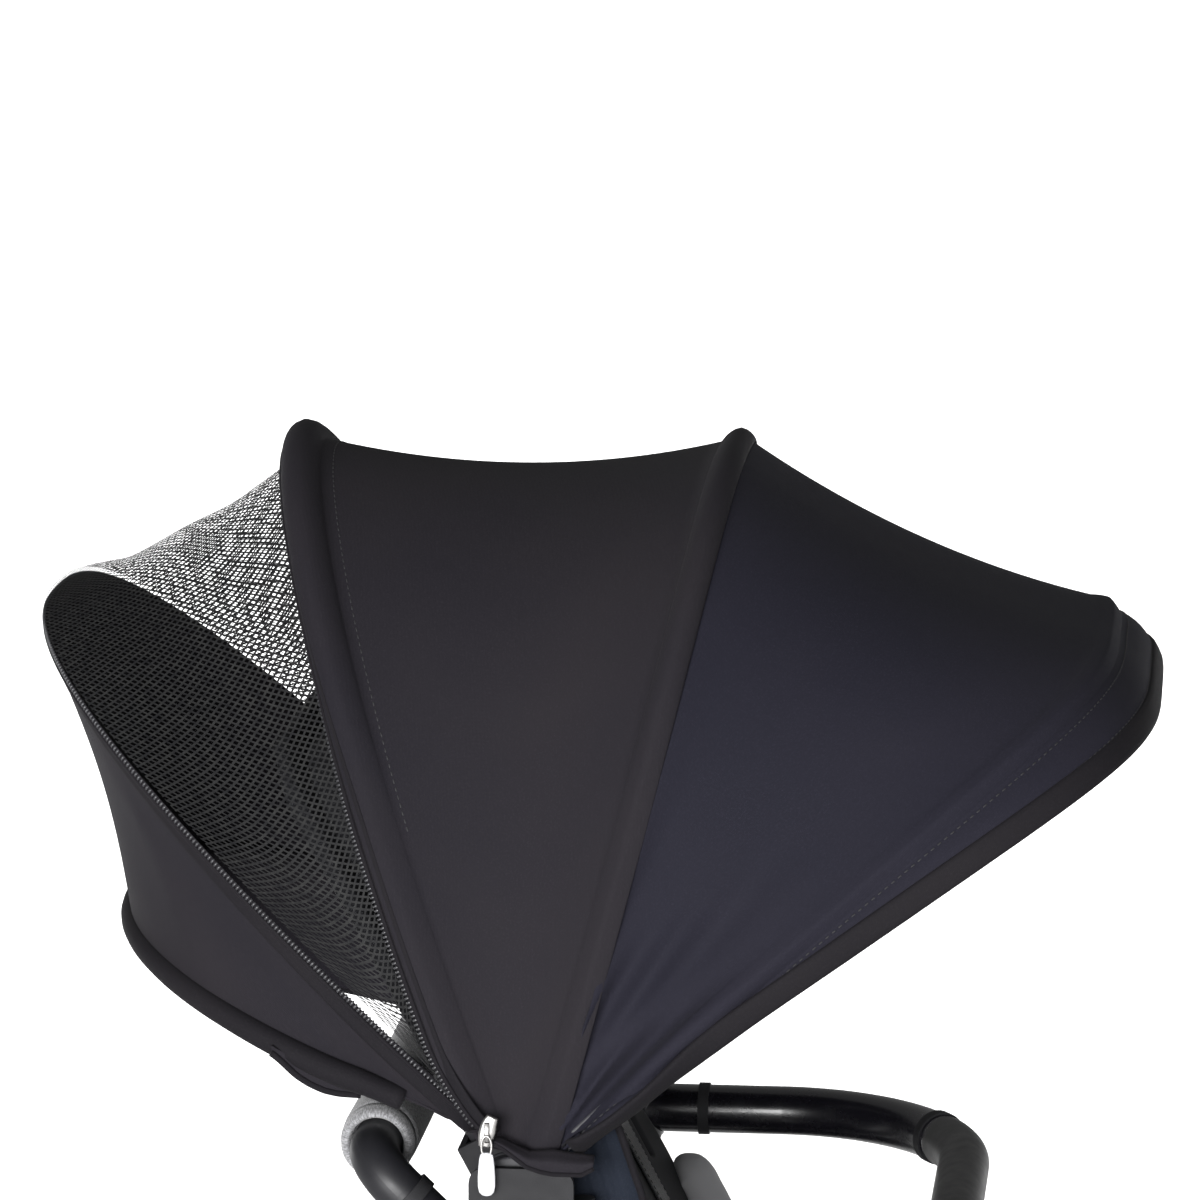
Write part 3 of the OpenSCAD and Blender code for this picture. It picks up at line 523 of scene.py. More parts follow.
BLACK_PLASTIC = moulded("black_plastic", (0.008, 0.008, 0.009), 0.62, shine=0.16)
SEAT_CLOTH = knit_cloth("seat_cloth", (0.010, 0.010, 0.011), (0.017, 0.017, 0.019), thread=1.2 * MM)
FRAME_PAINT = moulded("black_frame", (0.010, 0.010, 0.012), 0.42, 0.04 * MM, shine=0.3)
GLOSS = moulded("gloss_bar", (0.0045, 0.0042, 0.0062), 0.26, 0.01 * MM, coat=0.2)
MATTE = moulded("matte_bar", (0.020, 0.020, 0.020), 0.55, 0.05 * MM)
BUTTON = moulded("button_grey", (0.11, 0.11, 0.12), 0.5)
RIM = moulded("rim_grey", (0.09, 0.09, 0.10), 0.4)
STEEL = metal("steel", (0.62, 0.62, 0.64), 0.28)
SPRING = moulded("spring_steel", (0.020, 0.020, 0.023), 0.5, shine=0.25)
WIRE = moulded("wire", (0.02, 0.02, 0.022), 0.35)
ZIP_METAL = metal("zip_metal", (0.42, 0.41, 0.40), 0.32, brushed=False)
RUBBER = rubber("tyre_black")
TAG = clear_tag("tag_clear")

SLOT_FINISH = {
    "black_plastic": BLACK_PLASTIC, "black_frame": FRAME_PAINT, "steel": STEEL, "spring_steel": SPRING,
    "wire": WIRE, "grey_melange": GREY, "basket_cloth": BASKET_CLOTH, "webbing": WEBBING,
    "seat_cloth": SEAT_CLOTH, "buckle_plastic": BLACK_PLASTIC, "button_grey": BUTTON,
    "shell_cloth": SHELL_CLOTH,
    "navy_cloth": NAVY, "canopy_cloth": CANOPY, "binding": BINDING, "mesh": NET, "zip": ZIP_TEETH,
    "zip_metal": ZIP_METAL, "tag_clear": TAG, "gloss_bar": GLOSS, "matte_bar": MATTE,
    "rim_grey": RIM, "tyre_black": RUBBER,
}


def dress_frame():
    """Gives each CAD node the finish of its slot."""
    for part in frame["record"]["subparts"]:
        node = frame["nodes"][part["node"]]
        node.data.materials.clear()
        node.data.materials.append(SLOT_FINISH[part["material_slot"]])


# ---------------------------------------------------------------- Canopy


# Number of points from a bow's end to its top, and rows of points across a sewn channel
BOW_TOP = 400
CHANNEL_ROWS = 13


class Bow:
    """A superellipse that stands at an angle about a hinge line across the stroller."""

    def __init__(self, centre, degrees, radius, half_width, squareness, lean=0.0, free=20 * MM):
        """lean is how far the top stands back of the plane of the sides."""
        end = math.acos((free / radius) ** (squareness / 2))
        turns = np.linspace(-end, end, 2 * BOW_TOP + 1)
        power = 2 / squareness
        reach = radius * np.cos(turns) ** power
        angle = math.radians(degrees) + lean / radius * (reach / radius) ** 2
        width = half_width * np.sign(turns) * np.abs(np.sin(turns)) ** power
        self.curve = centre + np.stack([reach * np.cos(angle), width, reach * np.sin(angle)], axis=1)

    def points(self, shares):
        """Points at the given shares of its length, from the right end to the left end."""
        along = arc_lengths(self.curve)
        return np.stack([np.interp(shares * along[-1], along, self.curve[:, k]) for k in range(3)], 1)


COLUMNS = np.linspace(0, 1, 181)
STITCHED = slice(35, 146)
TOP = np.sin(np.pi * COLUMNS)


def channel_rows(count, power=0.7):
    """Places from -1 to 1 across a sewn channel, and how high it stands there."""
    x = -np.cos(np.linspace(0, math.pi, count))
    return x, np.maximum(1 - x * x, 0) ** power


def stretched(first, last, start, end, sag, middle=30, edge=None):
    """Cloth stretched between two bows, as a grid of points and each row's share of the way.

    first and last are points on the bows; start and end are (half width, height) of the sewn
    channel over each bow, and edge is a curve that the cloth runs on to past the last bow."""
    across = last - first
    span = np.linalg.norm(across, axis=1)
    way = unit(across)
    first_out, last_out = unit(first - PIVOT), unit(last - PIVOT)
    first_way = -unit(np.cross(first_out, np.cross(first_out, way)))
    last_way = -unit(np.cross(last_out, np.cross(last_out, way)))
    start_w, end_w = np.minimum(start[0], 0.28 * span), np.minimum(end[0], 0.28 * span)
    x, lift = channel_rows(CHANNEL_ROWS)
    rows, heights = [], []
    for spot, high in zip(x, lift):
        rows.append(spot * start_w)
        heights.append(start[1] * high * start_w / max(start[0], 1e-9))
    for share in np.linspace(0, 1, middle + 2)[1:-1]:
        rows.append(start_w + share * (span - start_w - end_w))
        heights.append(np.zeros(len(span)))
    for spot, high in zip(x, lift):
        rows.append(span + spot * end_w)
        heights.append(end[1] * high * end_w / max(end[0], 1e-9))
    crest = 0.2 + 0.8 * smooth((TOP - 0.55) / 0.4)
    rows, heights = np.stack(rows)[:, :, None], (np.stack(heights) * crest)[:, :, None]
    inner = np.clip(rows, 0, span[None, :, None])
    grid = first + way * inner
    grid = grid + np.minimum(rows, 0) * first_way
    grid = grid + np.maximum(rows - span[None, :, None], 0) * last_way
    share = inner[:, :, 0] / span
    normals = grid_normals(grid, PIVOT)
    dips = sag * 4 * share * (1 - share) * TOP ** 0.6
    grid = grid + normals * (heights - dips[:, :, None])
    if edge is not None:
        beyond = np.linspace(0, 1, 9)[1:, None, None]
        band = (1 - beyond) * grid[-1] + beyond * edge
        crown = 3 * MM * np.sin(np.pi * beyond) * TOP[None, :, None] ** 0.5
        grid = np.concatenate([grid, band + crown * unit(band - PIVOT)])
        share = np.concatenate([share, np.ones((len(beyond), len(span)))])
    return grid, share


def fold_lines(grid, normals, strength):
    """Soft creases that run from the lower brim to the pivot."""
    from_pivot = grid - PIVOT
    reach = np.linalg.norm(from_pivot[:, :, [0, 2]], axis=2)
    angle = np.arctan2(from_pivot[:, :, 2], from_pivot[:, :, 0])
    wander = 0.05 * np.sin(reach / 0.06 + 1.3)
    wave = np.sin((angle + wander) * 27) + 0.5 * np.sin((angle - wander) * 49 + 1.0)
    near = smooth((0.27 - reach) / 0.2) * smooth((reach - 0.02) / 0.05)
    return grid + normals * (strength * wave * near)[:, :, None]


AHEAD = np.array([9 * MM, 0, 0])
REAR = Bow(PIVOT, 112.2, 368 * MM, 213 * MM, 1.8, -9 * MM, 26 * MM)
MIDDLE = Bow(PIVOT + AHEAD, 75.0, 352 * MM, 212 * MM, 2.6, 8 * MM, 18 * MM)
FRONT = Bow(PIVOT, 43.6, 382 * MM, 213 * MM, 3.7, -16 * MM, 34 * MM)
BRIM = Bow(PIVOT, 38.9, 383.5 * MM, 213 * MM, 4.1, -20 * MM, 40 * MM)
ZIP_LINE = Bow(VENT, 136.3, 337 * MM, 195 * MM, 2.74, 0.0, 6 * MM)
PIPE_LINE = Bow(VENT, 158.8, 216 * MM, 196 * MM, 2.6, 0.0, 40 * MM)


def canopy_cloths():
    rear, middle, front = (bow.points(COLUMNS) for bow in (REAR, MIDDLE, FRONT))
    grid, share = stretched(rear, middle, (10.5 * MM, 8 * MM), (8.5 * MM, 5 * MM), 13 * MM)
    cloth = make_cloth("middle_cloth", grid, CANOPY)
    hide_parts("mid_panel", "rear_bow", "mid_bow")
    declare_cloth(cloth, grid)
    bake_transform(cloth)

    seam = grid[-1]
    front_grid, front_share = stretched(
        seam - 1.0 * MM * unit(seam - PIVOT), front, (4 * MM, 0.0), (7 * MM, 1.0 * MM), 9 * MM, 34,
        BRIM.points(COLUMNS)
    )
    normals = grid_normals(front_grid, PIVOT)
    front_grid = fold_lines(front_grid, normals, 3.0 * MM)
    front_cloth = make_cloth("front_cloth", front_grid, FRONT_CANOPY)
    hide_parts("front_panel", "front_bow")
    declare_cloth(front_cloth, front_grid)
    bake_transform(front_cloth)
    return grid, front_grid


def trims(grid, front_grid):
    """Binding and rows of stitches along the canopy's cloths."""
    brim = front_grid[-1]
    brim_side = unit(front_grid[-1] - front_grid[-3])
    binding = sweep("brim_binding_tape", brim, brim_side, oval(13 * MM, 4.2 * MM, 12, 2.6), BINDING)
    place(binding, "binding", "canopy_front", "brim_binding")

    normals = grid_normals(front_grid, PIVOT)
    for name, row in (("brim_stitches", -3), ("front_channel_stitches", -8)):
        line = beads(name, front_grid[row], normals[row], (2.4 * MM, 0.7 * MM, 0.7 * MM), 4.2 * MM, THREAD)
        place(line, "canopy_cloth", "canopy_front")

    middle_normals = grid_normals(grid, PIVOT)
    seam = (CHANNEL_ROWS, STITCHED)
    line = beads("rear_channel_stitches", grid[seam], middle_normals[seam],
                 (2.4 * MM, 0.7 * MM, 0.7 * MM), 4.2 * MM, THREAD)
    place(line, "canopy_cloth", "seat_back")


def zip_half(name, edge, inward, up, body, node):
    """Half a zip: a woven tape and its row of teeth."""
    tape = sweep(name + "_tape", edge + inward * 3.5 * MM, inward, oval(11 * MM, 1.6 * MM, 10, 4), BINDING)
    cord = sweep(name + "_coil", edge + inward * 1.2 * MM + up * 1.0 * MM, inward,
                 oval(2.6 * MM, 2.2 * MM, 8), BINDING)
    teeth = beads(name + "_teeth", edge - inward * 1.2 * MM + up * 0.6 * MM, up,
                  (1.3 * MM, 3.4 * MM, 2.2 * MM), 2.3 * MM, ZIP_TEETH)
    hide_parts(node)
    for piece in (tape, cord, teeth):
        place(piece, "zip", body)


def meet_at_slider(line):
    """Draws the last stretch of a zip in to its slider on each side."""
    pull = smooth((0.06 - np.minimum(COLUMNS, 1 - COLUMNS)) / 0.06)[:, None]
    ends = PIVOT + np.stack(
        [0 * COLUMNS - 12 * MM, np.sign(line[:, 1]) * 218 * MM, 0 * COLUMNS + 33 * MM], 1
    )
    return (1 - pull) * line + pull * ends


def zips_and_vent(grid):
    normals = grid_normals(grid, PIVOT)
    upper = grid[0] - normals[0] * 1.0 * MM
    outward = normals[4]
    back = unit(grid[0] - grid[2])
    zip_half("upper_zip", meet_at_slider(upper + back * 4 * MM), -back, outward, "seat_back", "upper_zip")

    lower = meet_at_slider(ZIP_LINE.points(COLUMNS))
    pipe = PIPE_LINE.points(COLUMNS)
    down = unit(pipe - lower)
    lower_up = grid_normals(np.stack([lower, lower + down * 5 * MM, pipe]), VENT)[0]
    zip_half("lower_zip", lower, down, lower_up, "vent", "lower_zip")

    gusset_top = upper + back * 9 * MM - outward * 2.0 * MM
    gusset_low = lower - down * 5 * MM
    gusset_low[:, 1] *= 0.99
    shares = np.linspace(0, 1, 41)[:, None, None]
    net_grid = (1 - shares) * gusset_top + shares * gusset_low
    slack = np.sin(np.pi * shares[:, :, 0]) * TOP ** 0.7
    net_normals = grid_normals(net_grid, PIVOT)
    ripple = bumps((net_grid * [1, 0.5, 1]).reshape(-1, 3), 45 * MM, 2).reshape(net_grid.shape[:2])
    net_grid = net_grid + net_normals * (slack * (-7 * MM + 4 * MM * ripple))[:, :, None]
    gusset = make_cloth("vent_netting", net_grid, NET, thick=0.0)
    flat_net(gusset, net_grid)
    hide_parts("vent_mesh")
    declare_cloth(gusset, net_grid)
    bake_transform(gusset)
    return lower, pipe, down


def flat_net(piece, grid):
    """Keeps only one layer of the netting, so that it stays see-through."""
    rows, columns = grid.shape[:2]
    uv = grid_uv(grid).reshape(-1, 2)
    mesh = bpy.data.meshes.new(piece.name)
    mesh.from_pydata([tuple(p) for p in grid.reshape(-1, 3)], [], grid_faces(rows, columns))
    mesh.update()
    layer = mesh.uv_layers.new(name="cloth")
    corners = np.zeros(len(mesh.loops), int)
    mesh.loops.foreach_get("vertex_index", corners)
    layer.data.foreach_set("uv", uv.astype(np.float32)[corners].ravel())
    mesh.polygons.foreach_set("use_smooth", [True] * len(mesh.polygons))
    mesh.materials.append(NET)
    piece.data = mesh


def rear_panel(lower, pipe, down):
    shares = np.linspace(0, 1, 31)[:, None, None]
    top = lower + down * 8 * MM
    grid = (1 - shares) * top + shares * pipe
    normals = grid_normals(grid, VENT)
    across = np.broadcast_to(COLUMNS, grid.shape[:2])
    down_share = np.broadcast_to(shares[:, :, 0], grid.shape[:2])
    belly = np.sin(np.pi * down_share) * TOP ** 0.5
    fold = np.exp(-(((across - 0.30 + 0.10 * down_share) / 0.035) ** 2)) * smooth(down_share / 0.3)
    grid = grid + normals * (-5 * MM * belly + 2.2 * MM * fold * belly)[:, :, None]
    cloth = make_cloth("rear_cloth", grid, CANOPY, inside=VENT)
    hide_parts("rear_panel")
    declare_cloth(cloth, grid)
    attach(cloth, "vent")

    tube = sweep("rear_piping", pipe + down * 2 * MM, down, oval(13 * MM, 12 * MM, 16), BINDING)
    place(tube, "binding", "vent", "panel_piping")
    return grid


# ---------------------------------------------------------------- Canopy fittings


def inner_bows():
    """Flat spring bows inside the channels, each with a disc on the pivot pin at both ends."""
    for name, bow, body, inset in (("rear", REAR, "seat_back", 2.0), ("middle", MIDDLE, "canopy_mid", 2.5),
                                   ("front", FRONT, "canopy_front", 5.0)):
        path = even_path(bow.curve, 6 * MM)
        out = unit(path - PIVOT)
        flat = np.cross(tangents(path), out)
        strip = sweep(name + "_spring_bow", path - out * inset * MM, flat,
                      oval(7 * MM, 2.4 * MM, 12, 4), SPRING)
        place(strip, "spring_steel", body)
    for name, node, body in (("rear", "rear_bow", "seat_back"), ("middle", "mid_bow", "canopy_mid"),
                             ("front", "front_bow", "canopy_front")):
        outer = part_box(node)[1][1]
        for side, sign in SIDES.items():
            centre = PIVOT + np.array([0, sign * outer, 0])
            disc = lathe(f"{name}_bow_disc_{side}", centre, (0, -sign, 0),
                         [(0.0, 6.6 * MM), (0.0, 18.6 * MM), (0.7 * MM, 19.6 * MM), (2.3 * MM, 19.6 * MM),
                          (3.0 * MM, 18.6 * MM), (3.0 * MM, 6.6 * MM), (0.0, 6.6 * MM)], 48, SPRING)
            place(disc, "spring_steel", body)


def canopy_hems():
    """The bound hem that hangs over the pivot on each side."""
    x = np.linspace(-7, 42, 41)
    top = np.interp(x, [-7, -4, 10, 22, 28, 42], [31, 31, 24.5, 25.5, 24.5, 23])
    low = np.interp(x, [-7, -2, 9, 16, 22, 36, 42], [29, 26.0, 17.5, 15.2, 14.2, 14.2, 17.5])
    for side, sign in SIDES.items():
        rows = []
        for share in np.linspace(0, 1, 9):
            z = (1 - share) * top + share * low
            y = 217.0 + 6.0 * smooth(share * 2.2) + 0.8 * math.sin(math.pi * share)
            rows.append(np.stack([x, np.full(41, sign * y), z], axis=1))
        grid = PIVOT + np.stack(rows) * MM
        hem = make_cloth(f"canopy_hem_{side}", grid, CANOPY, thick=1.6 * MM, inside=PIVOT)
        declare_cloth(hem, grid)
        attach(hem, "seat_back")
        edge = sweep(f"canopy_hem_edge_{side}", grid[-1], (0, sign, 0), oval(2.6 * MM, 2.4 * MM, 10), BINDING)
        place(edge, "binding", "seat_back")


def side_flaps():
    """The flaps sewn inside the piping: the left one hangs, the right one is folded up."""
    seam = Bow(VENT, 158.8, 213 * MM, 192 * MM, 2.6, 0.0, 60 * MM).points(np.linspace(0.62, 1.0, 61))
    left = (seam - PIVOT) / MM
    left_low = np.interp(left[:, 0], [-216, -195, -172, -141, -98, -76, -66], [96, 55, 25, 8, -6, -9, 8])
    x = np.linspace(-122.5, -77.5, 61)
    right = np.stack([x, 0 * x - 189.8, 66.4 - 0.505 * (x + 121.4)], axis=1)
    right_low = np.interp(x, [-122.5, -116, -110, -103, -95.5, -88, -77.5],
                          [63.8, 58.2, 52.4, 48, 44.8, 43.4, 43.0])
    for side, line, low in (("left", left, left_low), ("right", right, right_low)):
        sign = SIDES[side]
        top = line[:, 2] - (4.0 if side == "left" else 0.0)
        low = np.minimum(averaged(low, 2), top - 0.8)
        out = unit(line * [1, 1, 0])
        rows = []
        for share in np.linspace(0, 1, 25):
            wave = 0.7 * math.sin(3 * share) * np.sin(line[:, 0] / 17.0)
            row = line + out * wave[:, None]
            row[:, 2] = (1 - share) * top + share * low
            rows.append(row)
        grid = PIVOT + np.stack(rows) * MM
        flap = make_cloth(f"side_flap_{side}", grid, CANOPY, thick=1.2 * MM, inside=PIVOT)
        declare_cloth(flap, grid, held="hung")
        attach(flap, "vent")
        edge = sweep(f"side_flap_edge_{side}", even_path(grid[-1], 3 * MM), (0, sign, 0),
                     oval(3 * MM, 3.4 * MM, 10), BINDING)
        place(edge, "binding", "vent")
    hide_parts("side_flaps")


def slider_and_tag():
    """The zip's slider, the wire loop on it and the clear pull tag."""
    low, high = box_of("zip_slider")
    x, y = (low[0] + high[0]) / 2, high[1]
    path = np.array([[x + 2.6 * MM, y - 2.6 * MM, high[2]], [x + 0.8 * MM, y - 2.9 * MM, high[2] - 4 * MM],
                     [x - 0.6 * MM, y - 3.0 * MM, low[2] + 5 * MM], [x - 1.6 * MM, y - 2.8 * MM, low[2]]])
    path = even_path(path, 0.8 * MM)
    share = np.linspace(0, 1, len(path))
    wide = 0.72 + 0.28 * np.sin(math.pi * share)
    body = sweep("slider_body", path, (1, 0, 0), oval(8.4 * MM, 4.2 * MM, 20, 3), ZIP_METAL,
                 scale=np.stack([wide, np.full(len(path), 0.95)], axis=1))
    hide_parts("zip_slider")
    bridge_z = np.linspace(0, 1, 15)
    bridge = np.stack([np.full(15, x), y - (5.3 + 1.6 * np.sin(math.pi * bridge_z)) * MM,
                       low[2] + (2.5 + 10 * bridge_z) * MM], axis=1)
    bail = sweep("slider_bridge", bridge, (1, 0, 0), oval(2.6 * MM, 1.0 * MM, 10, 3), ZIP_METAL)
    for piece in (body, bail):
        place(piece, "zip_metal", "vent")

    tag_low, tag_high = box_of("zip_tag")
    tag_x, tag_y = (tag_low[0] + tag_high[0]) / 2, (tag_low[1] + tag_high[1]) / 2
    turns = np.linspace(0, 2 * math.pi, 33)[:-1]
    ring = np.stack([tag_x + 2.5 * MM * np.cos(turns), np.full(32, tag_y), tag_high[2] - 6 * MM
                     + 5.4 * MM * np.sin(turns)], axis=1)
    loop = sweep("tag_loop", ring, (0, 1, 0), oval(1.2 * MM, 1.2 * MM, 10), ZIP_METAL, closed=True)
    heights = np.array([-9.0, -9.3, -10.2, -12.0, -16.0, -21.0, -26.0, -29.0, -30.4, -30.9]) * MM
    widths = np.array([0.30, 0.55, 0.72, 0.82, 0.92, 1.0, 1.0, 0.86, 0.55, 0.22])
    depths = np.array([0.45, 0.8, 1.0, 1.0, 1.0, 1.0, 1.0, 0.95, 0.7, 0.4])
    column = np.stack([np.full(10, tag_x), np.full(10, tag_y), tag_high[2] + heights], axis=1)
    tag = sweep("pull_tag", column, (1, 0, 0), oval(8.6 * MM, 2.3 * MM, 24, 3.4), TAG,
                scale=np.stack([widths, depths], axis=1))
    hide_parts("zip_tag")
    for piece in (loop, tag):
        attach(piece, "zip_tag")


# ---------------------------------------------------------------- Seat


def side_wings():
    """Padded cloth wings beside the backrest, ribbed along their front edge."""
    front = [[128, -24], [131, -13], [142, 29], [147, 39], [160, 43], [199, 49], [204, 44]]
    z = np.linspace(128.5, 204, 61)
    edge = np.interp(z, [p[0] for p in front], [p[1] for p in front])
    for side, sign in SIDES.items():
        rows = []
        for share in np.linspace(0, 1, 61):
            x = -25.5 + share * (edge + 25.5)
            from_edge = edge - x
            rib = 0.9 * (0.5 + 0.5 * np.cos(2 * math.pi * from_edge / 7.0)) * (from_edge < 24)
            round_off = 2.4 * (1 - smooth(from_edge / 4.0))
            y = 192.0 + rib - round_off + 0.5 * np.sin(z / 9.0 + 2.0 * share)
            rows.append([back_point(a * MM, sign * b * MM, c * MM) for a, b, c in zip(x, y, z)])
        grid = np.array(rows)
        wing = make_cloth(f"side_wing_{side}", grid, NAVY, thick=4.6 * MM, inside=HUB)
        place(wing, "navy_cloth", "seat_back")
        trim = sweep(f"side_wing_edge_{side}", even_path(grid[-1], 3 * MM), (0, sign, 0),
                     oval(4 * MM, 4 * MM, 12), BINDING)
        place(trim, "binding", "seat_back")
        if side == "left":
            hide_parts("side_wings")


def inflated(name, node, finish, cap, start=2.5 * MM, voxel=5 * MM):
    """A cushion: the node's solid, remeshed, a little smaller, and blown up as cloth."""
    piece = bpy.data.objects.new(name, frame["nodes"][node].data.copy())
    piece.data.name = name
    bpy.context.scene.collection.objects.link(piece)
    piece.data.materials.clear()
    piece.data.materials.append(finish)
    remesh = piece.modifiers.new("remesh", "REMESH")
    remesh.mode, remesh.voxel_size, remesh.use_smooth_shade = "VOXEL", voxel, True
    settle(piece)
    before = mesh_points(piece) - start * mesh_normals(piece)
    move_points(piece, before)
    cloth = piece.modifiers.new("cloth", "CLOTH")
    cloth.settings.use_pressure = True
    cloth.settings.uniform_pressure_force = 4.0
    cloth.settings.effector_weights.gravity = 0.0
    cloth.point_cache.frame_start, cloth.point_cache.frame_end = 1, 20
    for step in range(1, 21):
        bpy.context.scene.frame_set(step)
    settle(piece)
    bpy.context.scene.frame_set(1)
    moved = mesh_points(piece) - before
    length = np.linalg.norm(moved, axis=1, keepdims=True)
    move_points(piece, before + moved * np.minimum(1, cap / np.maximum(length, 1e-9)))
    piece.modifiers.new("softer", "SUBSURF").levels = 1
    settle(piece)
    piece.data.polygons.foreach_set("use_smooth", [True] * len(piece.data.polygons))
    return piece


def press_lines(piece, distances, depth, width):
    """Sinks sewn lines into a cushion, where the distances from them are small."""
    sunk = depth * np.exp(-((distances / width) ** 2))
    move_points(piece, mesh_points(piece) - mesh_normals(piece) * sunk[:, None])


def in_back(points):
    """World points as places in the backrest's own frame."""
    c, s = math.cos(BACK_LEAN), math.sin(BACK_LEAN)
    x, y, z = (points - HUB).T
    return np.stack([x * c + z * s, y, z * c - x * s], axis=1)


def surface_run(points, axis, spots, reach=9 * MM):
    """How far the points reach along one axis near each spot of the other two."""
    others = [k for k in range(3) if k != axis]
    heights = []
    for spot in spots:
        near = np.linalg.norm(points[:, others] - spot, axis=1) < reach
        heights.append(points[near, axis].max() if near.any() else np.nan)
    heights = np.array(heights)
    found = ~np.isnan(heights)
    return np.interp(np.arange(len(heights)), np.flatnonzero(found), heights[found])


def strap(name, path, up, width=25 * MM):
    """Flat webbing along a path, with a row of stitches along both edges."""
    side = np.cross(tangents(path), up)
    band = sweep(name, path, side, oval(width, 1.6 * MM, 24, 6), WEBBING)
    lines = []
    for k, sign in enumerate((-1, 1)):
        edge = path + unit(side) * sign * (width / 2 - 2.2 * MM) + unit(up) * 0.95 * MM
        line = beads(f"{name}_stitches_{k}", edge, np.broadcast_to(up, path.shape),
                     (2.2 * MM, 0.6 * MM, 0.5 * MM), 3.6 * MM, THREAD)
        lines.append(line)
    return band, lines


def seat_back():
    bolsters = inflated("bolster_pads", "seat_bolsters", GREY, 2.5 * MM, 1.5 * MM)
    place(bolsters, "grey_melange", "seat_back", "seat_bolsters")

    cover = inflated("backrest_cover", "backrest_shell", SHELL_CLOTH, 3 * MM, 1.5 * MM)
    place(cover, "shell_cloth", "seat_back", "backrest_shell")

    pad = inflated("backrest_cushion", "backrest_pad", SEAT_CLOTH, 6 * MM)
    local = in_back(mesh_points(pad))
    inner = np.minimum(np.abs(np.abs(local[:, 1]) - 82 * MM), np.abs(local[:, 2] - 232 * MM))
    front = local[:, 0] > -12 * MM
    press_lines(pad, np.where(front & (local[:, 2] > 120 * MM), inner, 1.0), 3.5 * MM, 3.5 * MM)
    place(pad, "seat_cloth", "seat_back", "backrest_pad")

    local = in_back(mesh_points(pad))
    turned = unit(back_point(1.0, 0, 0) - HUB)
    for side, sign in SIDES.items():
        z = np.linspace(70, 326, 40) * MM
        spots = np.stack([np.full(40, sign * 46.5 * MM), z], axis=1)
        x = surface_run(local, 0, spots, 14 * MM) + 1.2 * MM
        x = averaged(x, 3)
        path = np.array([back_point(a, sign * 46.5 * MM, c) for a, c in zip(x, z)])
        band, lines = strap(f"shoulder_strap_{side}", path, turned)
        for piece in [band] + lines:
            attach(piece, "seat_back")
        if side == "left":
            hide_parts("shoulder_straps")


def seat():
    cushion = inflated("seat_pad", "seat_cushion", SEAT_CLOTH, 7 * MM)
    points = mesh_points(cushion)
    lines = np.minimum(np.abs(np.abs(points[:, 1]) - 84 * MM), np.abs(points[:, 0] - 118 * MM))
    press_lines(cushion, np.where(points[:, 2] > 484 * MM, lines, 1.0), 3.5 * MM, 3.5 * MM)
    place(cushion, "seat_cloth", "chassis", "seat_cushion")

    points = mesh_points(cushion)
    up = np.array([0.0, 0.0, 1.0])
    routes = {"crotch_strap": [(172, 0), (222, 0)]}
    for side, sign in SIDES.items():
        routes[f"lap_strap_{side}"] = [(150, sign * 25), (116, sign * 118)]
    for name, ends in routes.items():
        share = np.linspace(0, 1, 24)[:, None]
        spots = ((1 - share) * ends[0] + share * ends[1]) * MM
        z = surface_run(points, 2, spots, 12 * MM) + 1.0 * MM
        z = np.maximum(z, 495.4 * MM)
        path = np.concatenate([spots, z[:, None]], axis=1)
        band, stitches = strap(name, path, up)
        for piece in [band] + stitches:
            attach(piece, "chassis")
        if name == "crotch_strap":
            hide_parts("crotch_strap")
        if name == "lap_strap_left":
            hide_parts("lap_straps")


def rounded_ring(half_x, half_y, corner, count=120):
    """Points round a rectangle with rounded corners."""
    corners = []
    for quarter in range(4):
        turns = np.linspace(0, math.pi / 2, 12) + quarter * math.pi / 2
        cx = (half_x - corner) * (1 if quarter in (0, 3) else -1)
        cy = (half_y - corner) * (1 if quarter in (0, 1) else -1)
        x, y = cx + corner * np.cos(turns), cy + corner * np.sin(turns)
        corners.append(np.stack([x, y, 0 * turns], axis=1))
    outline = np.vstack(corners + [corners[0][:1]])
    return even_path(outline, arc_lengths(outline)[-1] / count)[:count]


def basket():
    """A cloth basket that hangs from its wire frame and sags."""
    low, high = box_of("basket")
    middle, half = (low + high) / 2, (high - low) / 2
    rows = []
    for drop in np.linspace(0, 1, 22):
        pinch = 6 * MM * math.sin(math.pi * drop) + 10 * MM * smooth((drop - 0.8) / 0.2)
        ring = rounded_ring(half[0] - pinch, half[1] - pinch, 32 * MM)
        ring[:, 2] = high[2] - drop * 2 * half[2] * 0.97
        rows.append(middle * [1, 1, 0] + ring)
    for share in np.linspace(0, 1, 18)[1:]:
        size = 1 - share * 0.985
        ring = rounded_ring((half[0] - 10 * MM) * size, (half[1] - 10 * MM) * size, 32 * MM * size)
        ring[:, 2] = low[2] + 2 * half[2] * 0.03 + 5 * MM * math.cos(math.pi * share) - 5 * MM
        rows.append(middle * [1, 1, 0] + ring)
    grid = np.stack(rows)
    crumple = bumps((grid * [1, 1, 2]).reshape(-1, 3), 55 * MM, 5).reshape(grid.shape[:2])
    amount = np.concatenate([np.linspace(0, 1, 22), np.linspace(1, 0.4, 17)])[:, None]
    inward = unit(middle * [1, 1, 0] + [0, 0, high[2]] - grid)
    grid = grid + inward * (1.5 * MM * (1 + crumple) * amount)[:, :, None]
    closed = np.concatenate([grid, grid[:, :1]], axis=1)
    bag = make_cloth("basket_bag", closed, BASKET_CLOTH, thick=1.4 * MM, inside=middle + [0, 0, half[2]])
    place(bag, "basket_cloth", "chassis", "basket")
    hem = sweep("basket_hem", closed[0, :-1] - [0, 0, 3 * MM], (0, 0, 1),
                oval(9 * MM, 4.5 * MM, 14, 3), BINDING, closed=True)
    place(hem, "basket_cloth", "chassis")


# ---------------------------------------------------------------- Handle and wheels


